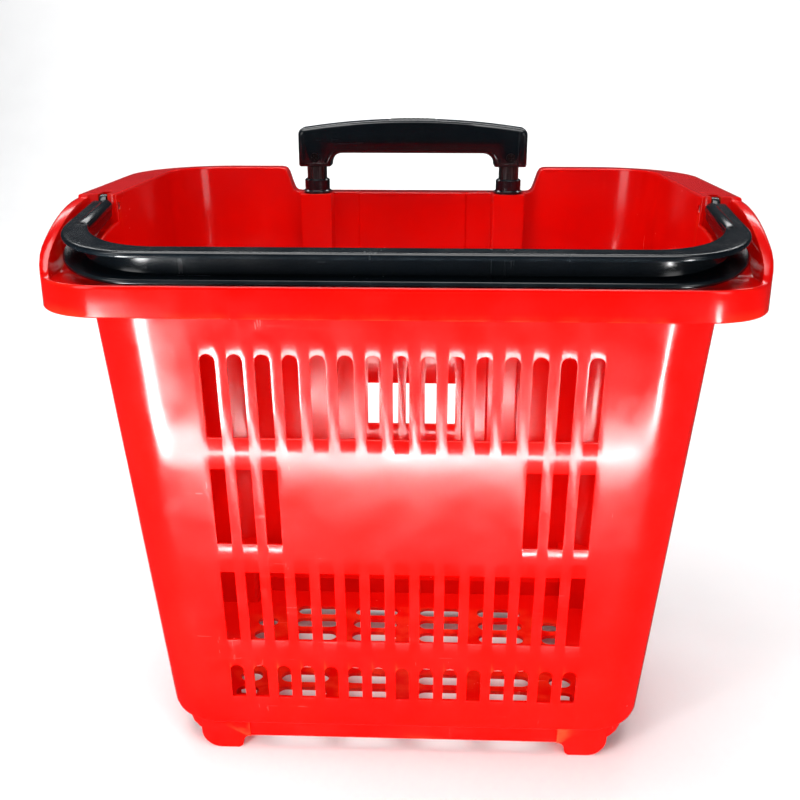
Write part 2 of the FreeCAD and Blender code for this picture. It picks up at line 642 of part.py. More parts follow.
def screw(name, x, y, z, length, rotation=ALONG_Y):
    """A pan-head screw with a cross recess; y is the head's outer face, and it points along +Y or -Y."""
    sign = "+" if rotation is ALONG_Y else "-"
    head = rod(f"{name}_head", "screw_head", "2.2", x, y, z, rotation)
    shank = rod(f"{name}_shank", "1.8", length, x, f"{y} {sign} 2", z, rotation)
    reach = (f"{y} - 1.2", f"{y} + 1.2")
    bars = [box(f"{name}_cross_a", (f"{x} - 2.3", f"{x} + 2.3"), reach, (f"{z} - 0.45", f"{z} + 0.45")),
            box(f"{name}_cross_b", (f"{x} - 0.45", f"{x} + 0.45"), reach, (f"{z} - 2.3", f"{z} + 2.3"))]
    return cut(name, fuse(f"{name}_blank", head, shank), fuse(f"{name}_cross", *bars))


BACKWARD = FreeCAD.Rotation(X_AXIS, 90)


def bracket_screws():
    """Eight screws that hold the clamps and the bottom sockets against the back wall."""
    screws = []
    for side, word in SIDES:
        for step in (-1, 1):
            screws.append(screw(f"clamp_screw_{word}_{step + 1}", f"({side} * tube_x + {step} * 18)",
                                "(tube_y + outer_radius + 5.2)", "(clamp_foot + 12)", "15", BACKWARD))
            screws.append(screw(f"socket_screw_{word}_{step + 1}", f"({side} * tube_x + {step} * 15.5)",
                                "(tube_y + outer_radius + 5.2)", "bracket_screw_height", "22", BACKWARD))
    keep(compound("bracket_screws", *screws), "bracket_screws")


def inner_tubes():
    """Sliding tubes, their guide bushes, lock pins and push rods."""
    for side, word in SIDES:
        x = f"{side} * tube_x"
        sliding = tube(f"inner_{word}", side, "inner_radius", "inner_bore", "inner_foot", "inner_top")
        cross = rod(f"inner_cross_{word}", "screw_radius + 0.1", "40", f"{side} * screw_x", "tube_y - 20",
                    "screw_height", ALONG_Y)
        keep(cut(f"inner_tube_{word}", sliding, cross), f"inner_tube_{word}")
        bush = turned(f"bush_{word}", [
            ("0", "bush_foot"), ("outer_bore - guide_play - 1", "bush_foot"),
            ("outer_bore - guide_play", "bush_foot + 1"), ("outer_bore - guide_play", "inner_foot"),
            ("inner_bore", "inner_foot"), ("inner_bore", "bush_top"), ("0", "bush_top")], x, "tube_y")
        rod_bore = rod(f"bush_rod_bore_{word}", "rod_radius + 0.3", "40",
                       f"{side} * (tube_x - rod_offset)", "tube_y", "rod_foot - 4.6")
        pin_bore = rod(f"bush_pin_bore_{word}", "pin_radius + 0.08", "13",
                       low_end(side, "tube_x - 2", "tube_x + 11"), "tube_y", "pin_height", ALONG_X)
        keep(cut(f"guide_bush_{word}", bush, fuse(f"bush_bores_{word}", rod_bore, pin_bore)),
             f"guide_bush_{word}")
        pin = rod(f"lock_pin_{word}", "pin_radius", "7.2", low_end(side, "tube_x + 1.5", "tube_x + 8.7"),
                  "tube_y", "pin_height", ALONG_X)
        keep(pin, f"lock_pin_{word}")
        push = rod(f"push_rod_{word}", "rod_radius", "yoke_foot - rod_foot",
                   f"{side} * (tube_x - rod_offset)", "tube_y", "rod_foot")
        keep(push, f"push_rod_{word}")


def grip_outline(inset):
    """Corners of the grip's front view, drawn in by inset: an arched bar on two legs."""
    half = f"(grip_width / 2 - {inset})"
    inner = f"(grip_width / 2 - leg_width + {inset})"
    foot = f"(leg_foot + {inset})" if inset != "0" else "leg_foot"
    return [(f"-{half}", foot), (f"-{inner}", foot), (f"-{inner}", f"bar_foot + {inset}"),
            (inner, f"bar_foot + {inset}"), (inner, foot), (half, foot),
            (half, f"grip_shoulder - {inset}"), (f"-{half}", f"grip_shoulder - {inset}")]


def grip_arc(inset):
    """The arc of the grip's top, which leaves corner 6 of its outline."""
    half = f"(grip_width / 2 - {inset})"
    radius = f"({half} ^ 2 + grip_arch ^ 2) / (2 * grip_arch)"
    return {6: (radius, ("0", f"grip_shoulder + grip_arch - {inset}"))}


def edge_names(feature, chosen):
    """Names of a feature's edges for which chosen(edge) is true."""
    doc.recompute()
    return [f"Edge{number}" for number, edge in enumerate(feature.Shape.Edges, start=1) if chosen(edge)]


def round_body(body, name, base, radius, chosen):
    """Round some edges of a body's feature."""
    names = edge_names(base, chosen)
    rounding = body.newObject("PartDesign::Fillet", name)
    rounding.Base = (base, names)
    rounding.Radius = radius
    return rounding


def cross_edge(distance, height):
    """Choose the two edges along Y at a distance from the middle and a height."""
    x, z = number_of(distance), number_of(height)

    def is_there(edge):
        first, last = edge.Vertexes[0].Point, edge.Vertexes[-1].Point
        return (abs(first.x - last.x) < 0.01 and abs(abs(first.x) - x) < 0.01
                and abs(first.z - z) < 0.01 and abs(last.z - z) < 0.01)
    return is_there


def grip_shell(word, front):
    """One half of the hollow grip, parted in the plane of the tubes."""
    body = new_body(f"grip_{word}", "0", "tube_y")
    sketch = new_sketch(body, f"grip_{word}_face", "XZ_Plane")
    outline(sketch, grip_outline("0"), grip_arc("0"))
    block = pad(body, f"grip_{word}_pad", sketch, "grip_depth / 2", reversed_way=not front)
    rounded = round_body(body, f"grip_{word}_inner_corners", block, 8,
                         cross_edge("grip_width / 2 - leg_width", "bar_foot"))
    rounded = round_body(body, f"grip_{word}_outer_corners", rounded, 6,
                         cross_edge("grip_width / 2", "grip_shoulder"))
    face_y = (-1 if front else 1) * number_of("grip_depth / 2")
    bevel = body.newObject("PartDesign::Chamfer", f"grip_{word}_bevel")
    bevel.Base = (rounded, edge_names(rounded, lambda edge: all(
        abs(vertex.Y - face_y) < 0.01 for vertex in edge.Vertexes)))
    bevel.Size = 3
    hollow = new_sketch(body, f"grip_{word}_inside", "XZ_Plane")
    outline(hollow, grip_outline("grip_wall"), grip_arc("grip_wall"))
    pocket(body, f"grip_{word}_hollow", hollow, "grip_depth / 2 - grip_wall", reversed_way=front)
    return body


def grip():
    """The two grip shells with their bores, button opening and screw seats."""
    for word, front in (("front", True), ("rear", False)):
        body = grip_shell(word, front)
        tools = []
        solids = [body]
        for side, side_word in SIDES:
            x = f"{side} * tube_x"
            seat = box(f"grip_{word}_seat_{side_word}", (f"{x} - leg_width / 2 + 1", f"{x} + leg_width / 2 - 1"),
                       ("tube_y - grip_depth / 2 + 1", "tube_y") if front else
                       ("tube_y", "tube_y + grip_depth / 2 - 1"), ("leg_foot", "screw_height + 6"))
            solids.append(seat)
            tools.append(rod(f"grip_{word}_bore_{side_word}", "inner_radius", "inner_top - leg_foot + 10", x,
                             "tube_y", "leg_foot - 10"))
            screw_x = f"{side} * screw_x"
            if front:
                tools.append(rod(f"grip_seat_hole_{side_word}", "screw_radius + 0.1", "30", screw_x,
                                 "tube_y - 20", "screw_height", ALONG_Y))
                tools.append(rod(f"grip_head_hole_{side_word}", "screw_head + 0.2", "5", screw_x,
                                 "tube_y - grip_depth / 2 - 3", "screw_height", ALONG_Y))
            else:
                tools.append(rod(f"grip_boss_hole_{side_word}", "1.8", "13.5", screw_x, "tube_y - 1",
                                 "screw_height", ALONG_Y))
        tools.append(box(f"grip_{word}_button_gap", ("-button_width / 2 - button_play",
                                                     "button_width / 2 + button_play"),
                         ("tube_y - grip_depth / 2 + 3.6 - button_play",
                          "tube_y + grip_depth / 2 - 3.6 + button_play"), ("yoke_foot + 5", "500")))
        keep(cut(f"grip_{word}_shell", fuse(f"grip_{word}_solid", *solids), fuse(f"grip_{word}_tools", *tools)),
             f"grip_{word}_shell")
    screws = [screw(f"grip_screw_{word}", f"({side} * screw_x)", "(tube_y - grip_depth / 2 - 0.2)",
                    "screw_height", "24") for side, word in SIDES]
    keep(compound("grip_screws", *screws), "grip_screws")


def release_button():
    """The push button in the grip, its yoke and the return spring."""
    body = new_body("button", "0", "tube_y")
    sketch = new_sketch(body, "button_face", "XZ_Plane")
    half = "button_width / 2"
    arch = "(grip_width / 2)"
    radius = f"({arch} ^ 2 + grip_arch ^ 2) / (2 * grip_arch)"
    edge_top = f"grip_shoulder + grip_arch - ({radius}) + sqrt(({radius}) ^ 2 - ({half}) ^ 2)"
    outline(sketch, [(f"-{half}", "yoke_foot + yoke_height"), (half, "yoke_foot + yoke_height"),
                     (half, f"{edge_top} + 0.8"), (f"-{half}", f"{edge_top} + 0.8")],
            {2: (radius, ("0", "grip_shoulder + grip_arch + 0.8"))})
    pad(body, "button_pad", sketch, "grip_depth - 7.2", both_ways=True)
    keep(body, "release_button")
    yoke = box("yoke_bar", ("-tube_x", "tube_x"), ("tube_y - 3", "tube_y + 3"),
               ("yoke_foot", "yoke_foot + yoke_height"))
    keep(yoke, "button_yoke")
    coil = new_body("return_coil", "0", "tube_y")
    sketch = new_sketch(coil, "coil_wire", "XZ_Plane")
    circle_at(sketch, "3.4", "bar_foot + grip_wall + 0.6", "0.45")
    helix = coil.newObject("PartDesign::AdditiveHelix", "coil_helix")
    helix.Profile = sketch
    helix.ReferenceAxis = (sketch, ["V_Axis"])
    helix.Mode = 0
    helix.Pitch = 2.2
    helix.setExpression("Height", with_sheet("yoke_foot - bar_foot - grip_wall - 1.3"))
    keep(coil, "button_spring")


# ---------------------------------------------------------------- wheels
def wheels():
    """Two rear wheels on one axle, with spacers and push-on caps."""
    keep(rod("axle", "axle_radius", "2 * (wheel_x + wheel_width / 2 + 3.2)",
             "-(wheel_x + wheel_width / 2 + 3.2)", "wheel_y", "wheel_radius", ALONG_X), "axle")
    spacers = []
    caps = []
    half = "wheel_width / 2"
    for side, word in SIDES:
        bore = "axle_radius + wheel_play"
        hub = turned(f"hub_{word}", [
            (bore, f"-{half} - 0.2"), ("9", f"-{half} - 0.2"), ("11", "-2"), ("rim_radius - 3.5", "-2"),
            ("rim_radius - 3", f"-{half}"), ("rim_radius", f"-{half}"), ("rim_radius", half),
            ("rim_radius - 3", half), ("rim_radius - 3.5", "2"), ("11", "2"), ("9", f"{half} + 0.2"),
            (bore, f"{half} + 0.2")])
        window = new_sketch(hub, f"hub_window_{word}", "XY_Plane")
        circle_at(window, "16.2", "0", "4.2")
        opening = pocket(hub, f"hub_opening_{word}", window, "8", both_ways=True)
        ring = hub.newObject("PartDesign::PolarPattern", f"hub_ring_{word}")
        ring.Originals = [opening]
        ring.Axis = (window, ["N_Axis"])
        ring.Angle = 360
        ring.Occurrences = 6
        hub.Tip = ring
        hub.Placement = FreeCAD.Placement(FreeCAD.Vector(), ALONG_X)
        place(hub, f"{side} * wheel_x", "wheel_y", "wheel_radius")
        keep(hub, f"wheel_hub_{word}")
        tyre = turned(f"tyre_body_{word}", [
            ("rim_radius", f"-{half}"), ("wheel_radius - 3", f"-{half}"), ("wheel_radius", f"-{half} + 3"),
            ("wheel_radius", f"{half} - 3"), ("wheel_radius - 3", half), ("rim_radius", half)])
        tyre.Placement = FreeCAD.Placement(FreeCAD.Vector(), ALONG_X)
        place(tyre, f"{side} * wheel_x", "wheel_y", "wheel_radius")
        keep(tyre, f"tyre_{word}")
        spacer = rod(f"spacer_skin_{word}", "8", "2.4", low_end(side, "150", "152.4"), "wheel_y",
                     "wheel_radius", ALONG_X)
        core = rod(f"spacer_core_{word}", "axle_radius", "10", low_end(side, "146", "156"), "wheel_y",
                   "wheel_radius", ALONG_X)
        spacers.append(cut(f"spacer_{word}", spacer, core))
        inner = f"wheel_x + {half} + 0.6"
        cap = rod(f"cap_skin_{word}", "7.5", "4.2", low_end(side, inner, f"{inner} + 4.2"), "wheel_y",
                  "wheel_radius", ALONG_X)
        core = rod(f"cap_core_{word}", "axle_radius", "2.6", low_end(side, inner, f"{inner} + 2.6"), "wheel_y",
                   "wheel_radius", ALONG_X)
        caps.append(cut(f"cap_{word}", cap, core))
    keep(compound("axle_spacers", *spacers), "axle_spacers")
    keep(compound("axle_caps", *caps), "axle_caps")


def write_parts():
    """Check every object and sub-part, then write each sub-part's file."""
    doc.recompute()
    for thing in doc.Objects:
        if "Invalid" in thing.State or "Error" in thing.State:
            raise RuntimeError(f"{thing.Name} failed: {thing.State}")
    for node in NODES:
        if node.Shape.isNull() or not node.Shape.isValid():
            raise RuntimeError(f"{node.Label} has no valid shape")
    os.makedirs("parts", exist_ok=True)
    for node in NODES:
        node.Shape.exportStep(f"parts/{node.Label}.step")
        span = node.Shape.BoundBox
        print(f"{node.Label:20s} {len(node.Shape.Solids)} solids {node.Shape.Volume / 1000:9.2f} cm3 "
              f"z {span.ZMin:.1f} to {span.ZMax:.1f}")


basket_body()
carry_handle()
outer_tubes()
bracket_screws()
inner_tubes()
grip()
release_button()
wheels()
write_parts()
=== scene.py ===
"""Looks for the rolling shopping basket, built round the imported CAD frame. Sizes are in millimetres and become
metres when a mesh is made."""

import json
import math

import bmesh
import bpy
from mathutils import Euler, Matrix, Vector


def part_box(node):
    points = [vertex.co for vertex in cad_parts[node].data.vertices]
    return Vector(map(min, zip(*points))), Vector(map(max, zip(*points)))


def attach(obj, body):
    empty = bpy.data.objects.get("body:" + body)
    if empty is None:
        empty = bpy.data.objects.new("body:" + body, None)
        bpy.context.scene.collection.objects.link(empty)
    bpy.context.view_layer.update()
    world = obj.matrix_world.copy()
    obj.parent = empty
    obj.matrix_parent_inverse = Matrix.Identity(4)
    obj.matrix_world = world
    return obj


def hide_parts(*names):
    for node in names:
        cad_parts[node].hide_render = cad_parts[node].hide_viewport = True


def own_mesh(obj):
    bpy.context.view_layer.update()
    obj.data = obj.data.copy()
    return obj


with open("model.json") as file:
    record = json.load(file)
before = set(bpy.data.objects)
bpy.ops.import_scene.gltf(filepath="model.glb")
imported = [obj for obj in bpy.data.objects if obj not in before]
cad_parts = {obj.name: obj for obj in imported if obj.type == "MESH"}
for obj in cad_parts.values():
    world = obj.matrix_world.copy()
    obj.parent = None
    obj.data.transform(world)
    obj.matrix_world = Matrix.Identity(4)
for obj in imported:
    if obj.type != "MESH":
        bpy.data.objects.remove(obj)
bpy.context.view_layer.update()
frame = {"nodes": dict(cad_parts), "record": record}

MM = 0.001
SIDES = ((-1, "left"), (1, "right"))


def limits(node):
    """Low and high corners of a CAD node in millimetres."""
    return [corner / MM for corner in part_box(node)]


def middle(node):
    """Middle of a CAD node in millimetres."""
    low, high = limits(node)
    return (low + high) / 2


# Sizes taken from the frame, in millimetres.
body_low, body_high = limits("basket_body")
bail_low, bail_high = limits("carry_handle")
grip_low, grip_high = limits("grip_front_shell")
grip_back = limits("grip_rear_shell")[1].y
hub_low, hub_high = limits("wheel_hub_right")
tyre_low, tyre_high = limits("tyre_right")
button_low, button_high = limits("release_button")
spring_low, spring_high = limits("button_spring")

RIM_HALF = body_high.x
RIM_FRONT = body_low.y
RIM_BACK = body_high.y
RIM_TOP = body_high.z
FRONT_TOP = RIM_TOP - 40
TUBE_X, TUBE_Y, _ = middle("inner_tube_right")
_, PIVOT_Y, PIVOT_Z = middle("pivot_pin_right")
_, AXLE_Y, AXLE_Z = middle("axle")
WHEEL_X = middle("wheel_hub_right").x

# Shape of the moulding, as in the CAD model.
WALL = 3.0
WALL_FOOT = 27.0
FLOOR_TOP = 30.0
FOOT_CURVE = 6.0
CORNER = 44.0
LOW_HALF, HIGH_HALF = 191.0, 216.0
LOW_FRONT, FRONT_LEAN = -104, 53
LOW_BACK, BACK_LEAN = 138, 14
SHOULDER_Y = -40.5
ARC = 155.0
SKIRT_FOOT = 379.0
SKIRT = 2.5
SHELF_FRONT, SHELF_ARC = 397.0, 414.0
EDGE_FRONT, EDGE_ARC = 398.0, 420.0
LIP_ARC = RIM_TOP - 2
NOTCH_Z = 418.5
SLOT_PITCH = 18.4
SLOT_HALF = 5.5
FLOOR_SLOT_RADIUS = 7.25
FLOOR_SLOT_PITCH = 21.9
TUNNEL_HALF, TUNNEL_FRONT, TUNNEL_TOP, TUNNEL_WALL_END = 150, 105, 45, 160
ARCH_INNER, ARCH_OUTER, ARCH_FRONT, ARCH_TOP = 147, 205, 81, 73
WHEEL_SPACE_OUTER = 184
RIB_X, RIB_HALF, RIB_BACK = 60, 2.5, 9
CHEEK_INNER, CHEEK_REACH = 144, 12
UNDER_INSET, UNDER_FOOT = 9, 11
SPRING_WIRE = 0.45
SPRING_TURNS = 5
ROUND_STEPS = ((-1, 0), (-0.866, 0.5), (-0.5, 0.866), (0, 1), (0.5, 0.866), (0.866, 0.5), (1, 0))


# ---------- mesh helpers
def link_object(name, data):
    """Put a mesh, light or camera into the scene."""
    thing = bpy.data.objects.new(name, data)
    bpy.context.scene.collection.objects.link(thing)
    return thing


def make_object(name, points, faces):
    """A mesh object from points in millimetres."""
    mesh = bpy.data.meshes.new(name)
    mesh.from_pydata([Vector(point) * MM for point in points], [], faces)
    mesh.update()
    return link_object(name, mesh)


def from_bmesh(name, shape):
    """A mesh object from a bmesh in millimetres."""
    bmesh.ops.scale(shape, vec=(MM, MM, MM), verts=shape.verts)
    bmesh.ops.recalc_face_normals(shape, faces=shape.faces)
    mesh = bpy.data.meshes.new(name)
    shape.to_mesh(mesh)
    shape.free()
    return link_object(name, mesh)


def outward(thing):
    """Make a closed mesh's faces point outward."""
    shape = bmesh.new()
    shape.from_mesh(thing.data)
    bmesh.ops.recalc_face_normals(shape, faces=shape.faces)
    shape.to_mesh(thing.data)
    shape.free()


def smooth(thing, angle):
    """Shade smooth except over edges sharper than an angle."""
    for face in thing.data.polygons:
        face.use_smooth = True
    thing.data.set_sharp_from_angle(angle=math.radians(angle))


def settle(thing):
    """Replace a mesh with the result of its modifiers."""
    bpy.context.view_layer.update()
    depsgraph = bpy.context.evaluated_depsgraph_get()
    mesh = bpy.data.meshes.new_from_object(thing.evaluated_get(depsgraph))
    old = thing.data
    thing.modifiers.clear()
    thing.data = mesh
    bpy.data.meshes.remove(old)


def bevel(thing, width, segments, angle):
    """Round the sharp edges of a mesh; width in millimetres."""
    modifier = thing.modifiers.new("edges", "BEVEL")
    modifier.width = width * MM
    modifier.segments = segments
    modifier.limit_method = "ANGLE"
    modifier.angle_limit = math.radians(angle)
    modifier.use_clamp_overlap = True
    settle(thing)


def combine(thing, other, operation):
    """Boolean with another mesh, which is used up."""
    modifier = thing.modifiers.new(operation.lower(), "BOOLEAN")
    modifier.operation = operation
    modifier.object = other
    modifier.solver = "EXACT"
    settle(thing)
    bpy.data.objects.remove(other)


def add_block(shape, x, y, z):
    """Add a block between bounds to a bmesh."""
    made = bmesh.ops.create_cube(shape, size=1.0)["verts"]
    size = (x[1] - x[0], y[1] - y[0], z[1] - z[0])
    centre = ((x[0] + x[1]) / 2, (y[0] + y[1]) / 2, (z[0] + z[1]) / 2)
    bmesh.ops.scale(shape, vec=size, verts=made)
    bmesh.ops.translate(shape, vec=centre, verts=made)
    return made


def block(name, x, y, z):
    """A block object between bounds."""
    shape = bmesh.new()
    add_block(shape, x, y, z)
    return from_bmesh(name, shape)


def add_bar(shape, radius, length, centre, axis="Z", segments=48):
    """Add a round bar centred on a point to a bmesh."""
    made = bmesh.ops.create_cone(shape, cap_ends=True, segments=segments, radius1=radius, radius2=radius,
                                 depth=length)["verts"]
    turn = {"X": Matrix.Rotation(math.pi / 2, 3, "Y"), "Y": Matrix.Rotation(math.pi / 2, 3, "X"),
            "Z": Matrix.Identity(3)}[axis]
    bmesh.ops.transform(shape, matrix=turn.to_4x4(), verts=made)
    bmesh.ops.translate(shape, vec=centre, verts=made)


def add_prism(shape, outline, low, high, axis="Z"):
    """Add a prism over a closed outline of (a, b) pairs, raised along an axis, to a bmesh."""
    def point(a, b, height):
        return {"Z": (a, b, height), "Y": (a, height, b), "X": (height, a, b)}[axis]
    ends = [[shape.verts.new(point(a, b, height)) for a, b in outline] for height in (low, high)]
    count = len(outline)
    shape.faces.new(ends[0])
    shape.faces.new(list(reversed(ends[1])))
    for index in range(count):
        following = (index + 1) % count
        shape.faces.new((ends[0][index], ends[0][following], ends[1][following], ends[1][index]))


def arc(a, b, radius, start, end, steps):
    """Points round a centre (a, b), between two angles in degrees."""
    angles = [math.radians(start + (end - start) * step / steps) for step in range(steps + 1)]
    return [(a + radius * math.cos(angle), b + radius * math.sin(angle)) for angle in angles]


def loft(name, rings, closed=False):
    """A solid through rings of points, capped at both ends unless it closes on itself."""
    depth = len(rings[0])
    faces = []
    for index in range(len(rings) if closed else len(rings) - 1):
        here, there = index * depth, (index + 1) % len(rings) * depth
        for place in range(depth):
            after = (place + 1) % depth
            faces.append((here + place, there + place, there + after, here + after))
    if not closed:
        faces.append(list(range(depth)))
        faces.append(list(range((len(rings) - 1) * depth, len(rings) * depth)))
    thing = make_object(name, [point for ring in rings for point in ring], faces)
    outward(thing)
    return thing


def lathe(name, profile, segments):
    """A closed ring turned round X from (radius, height) pairs."""
    rings = []
    for step in range(segments):
        turn = 2 * math.pi * step / segments
        rings.append([(height, radius * math.cos(turn), radius * math.sin(turn)) for radius, height in profile])
    return loft(name, rings, closed=True)


# ---------- plan outlines
def turned(reach, radius):
    """Length walked round a corner to the point that lies reach beyond its start."""
    return radius * math.asin(min(1.0, reach / radius))


class Outline:
    """Right half of a rounded rectangle, walked by length from the middle of the front to that of the back."""

    def __init__(self, half, front, back, front_radius, back_radius):
        self.half, self.front, self.back = half, front, back
        self.front_radius, self.back_radius = max(front_radius, 0.01), max(back_radius, 0.01)
        self.front_flat = half - self.front_radius
        self.front_arc = self.front_flat + self.front_radius * math.pi / 2
        self.side_low = front + self.front_radius
        self.side_high = back - self.back_radius
        self.side_end = self.front_arc + self.side_high - self.side_low
        self.back_arc = self.side_end + self.back_radius * math.pi / 2
        self.length = self.back_arc + half - self.back_radius

    def at(self, walked):
        """The point a length along the outline."""
        if walked <= self.front_flat:
            return walked, self.front
        if walked <= self.front_arc:
            angle = (walked - self.front_flat) / self.front_radius
            return (self.front_flat + self.front_radius * math.sin(angle),
                    self.side_low - self.front_radius * math.cos(angle))
        if walked <= self.side_end:
            return self.half, self.side_low + walked - self.front_arc
        if walked <= self.back_arc:
            angle = (walked - self.side_end) / self.back_radius
            return (self.half - self.back_radius + self.back_radius * math.cos(angle),
                    self.side_high + self.back_radius * math.sin(angle))
        return self.length - walked, self.back

    def anchor(self, kind, value):
        """Length walked to x on the front or the back, or to y on the side."""
        if kind == "side":
            if value < self.side_low:
                return self.front_arc - turned(self.side_low - value, self.front_radius)
            if value > self.side_high:
                return self.side_end + turned(value - self.side_high, self.back_radius)
            return self.front_arc + value - self.side_low
        radius = self.front_radius if kind == "front" else self.back_radius
        flat = self.half - radius
        walked = min(value, flat) + turned(max(value - flat, 0.0), radius)
        return walked if kind == "front" else self.length - walked


def wall_outline(z, inset):
    """Outline of the walls at a height, drawn in by inset."""
    share = (z - WALL_FOOT) / (RIM_TOP - WALL_FOOT)
    half = LOW_HALF + (HIGH_HALF - LOW_HALF) * share
    return Outline(half - inset, LOW_FRONT - FRONT_LEAN * share + inset, LOW_BACK + BACK_LEAN * share - inset,
                   CORNER - inset, CORNER - inset)


def rim_outline(side_inset, front_inset):
    """Outline of the rim, with an inset at the sides and back and another at the front."""
    return Outline(RIM_HALF - side_inset, RIM_FRONT + front_inset, RIM_BACK - side_inset, 50 - side_inset,
                   80 - side_inset)


def rim_line(y, front_top, arc_top, back_top):
    """Height of a rim line: level front, rising arc, level behind the shoulder."""
    if y > SHOULDER_Y:
        return back_top
    reach = ARC ** 2 - (y - SHOULDER_Y) ** 2
    if reach <= 0:
        return front_top
    return max(front_top, arc_top - ARC + math.sqrt(reach))


# ---------- basket shell
# The back rim's line as (x, z), the columns of the tube channels, and the wall's rows with the slots' ends.
NOTCH_LINE = ((121, 440), (118, 439.7), (115.6, 438.6), (113.6, 435.4), (110.6, 426.0), (108.6, 421.0),
              (106.6, 419.1), (104.2, 418.6), (102, 418.5))
CHANNEL_COLUMNS = (101.4, 99.9, 98.2, 97.3, 86.3, 75.3, 74.4, 72.7, 71.2, 64, 53, 49.5, 47.8)
CHANNEL_INNER = (71.9, 100.6)
CHANNEL_OUTER = (74.9, 97.7)
WALL_ROWS = (36, 46.5, 57, "low_top", 98, 113, 144, 176, 188, "second_foot", "second_top", 275, 287, 316,
             "top_top", 360, 374)
ROW_HEIGHTS = {"low_top": 89, "second_foot": 200, "second_top": 263, "top_top": 350}
ROUND_ROWS = ("low_top", "top_top")
BACK_ROWS = {"second_foot": 196, "second_top": 238}
SLOT_ROWS = {"top": (287, "top_top"), "second": ("second_foot", "second_top"), "third": (113, 176),
             "low": (57, "low_top")}
BLANK_SLOTS = {("front", "second"): range(0, 5), ("side", "second"): range(-1, 3), ("side", "low"): range(4, 6),
               ("back", "top"): range(0, 3), ("back", "low"): range(0, 3)}


class Column:
    """One upright line of points round the shell."""

    def __init__(self, kind, value, slot=None, lift=0.0, between=None):
        self.kind, self.value, self.slot, self.lift, self.between = kind, value, slot, lift, between

    def walked(self, outline):
        """Length walked along an outline to this column."""
        if self.between:
            (first_kind, first), (last_kind, last) = self.between
            low, high = outline.anchor(first_kind, first), outline.anchor(last_kind, last)
            return low + (high - low) * self.value
        return outline.anchor(self.kind, self.value)

    def on(self, outline):
        """The point where this column meets an outline."""
        return outline.at(self.walked(outline))


def slot_columns(kind, first, last, rising=True):
    """Columns for a run of slots, with a column between each two."""
    columns = []
    order = range(first, last + 1) if rising else range(last, first - 1, -1)
    way = 1 if rising else -1
    for slot in order:
        for across, lift in ROUND_STEPS:
            value = slot * SLOT_PITCH + way * across * SLOT_HALF
            if kind == "side" or value >= -0.001:
                columns.append(Column(kind, value, slot, lift * SLOT_HALF))
        if slot != order[-1]:
            columns.append(Column(kind, (slot + way * 0.5) * SLOT_PITCH, None, SLOT_HALF))
    return columns


def all_columns():
    """Columns of the right half, from the middle of the front to the middle of the back."""
    columns = slot_columns("front", 0, 7)
    front_end, side_start = ("front", columns[-1].value), ("side", -4 * SLOT_PITCH - SLOT_HALF)
    columns += [Column("corner", step / 26, None, SLOT_HALF, (front_end, side_start)) for step in range(1, 26)]
    columns += slot_columns("side", -4, 5)
    side_end, back_start = ("side", 5 * SLOT_PITCH + SLOT_HALF), ("back", 125)
    columns += [Column("corner", step / 22, None, SLOT_HALF, (side_end, back_start)) for step in range(1, 22)]
    plain = (125, *[x for x, z in NOTCH_LINE], *CHANNEL_COLUMNS)
    columns += [Column("back", x, None, SLOT_HALF) for x in plain]
    columns += slot_columns("back", 0, 2, rising=False)
    return columns


def row_height(row, column):
    """Height of a wall row at a column; rounded slot tops make the row wave."""
    if not isinstance(row, str):
        return row
    if column.kind == "back" and row in BACK_ROWS:
        return BACK_ROWS[row]
    height = ROW_HEIGHTS[row]
    rounded = row in ROUND_ROWS and column.kind != "back"
    return height - SLOT_HALF + column.lift if rounded else height


def wall_point(column, z, inset, inside):
    """A point on the wall, with the tube channels and the raised middle panel of the back wall."""
    x, y = column.on(wall_outline(z, inset))
    if column.kind == "back":
        if inside and CHANNEL_INNER[0] < x < CHANNEL_INNER[1]:
            y = min(y, 130.0)
        if inside and x < 48.5:
            y -= 1.5
        if not inside and CHANNEL_OUTER[0] < x < CHANNEL_OUTER[1] and 45 < z < NOTCH_Z - WALL:
            y = 134.0
    return x, y, z


def notch_height(x):
    """Height of the back rim at x, low under the pull handle."""
    if x >= NOTCH_LINE[0][0]:
        return RIM_TOP
    for (x_high, z_high), (x_low, z_low) in zip(NOTCH_LINE, NOTCH_LINE[1:]):
        if x >= x_low:
            return z_low + (z_high - z_low) * (x - x_low) / (x_high - x_low)
    return NOTCH_Z


def notch_slope(x):
    """Slope of the back rim's line at x."""
    return (notch_height(x + 1.2) - notch_height(x - 1.2)) / 2.4


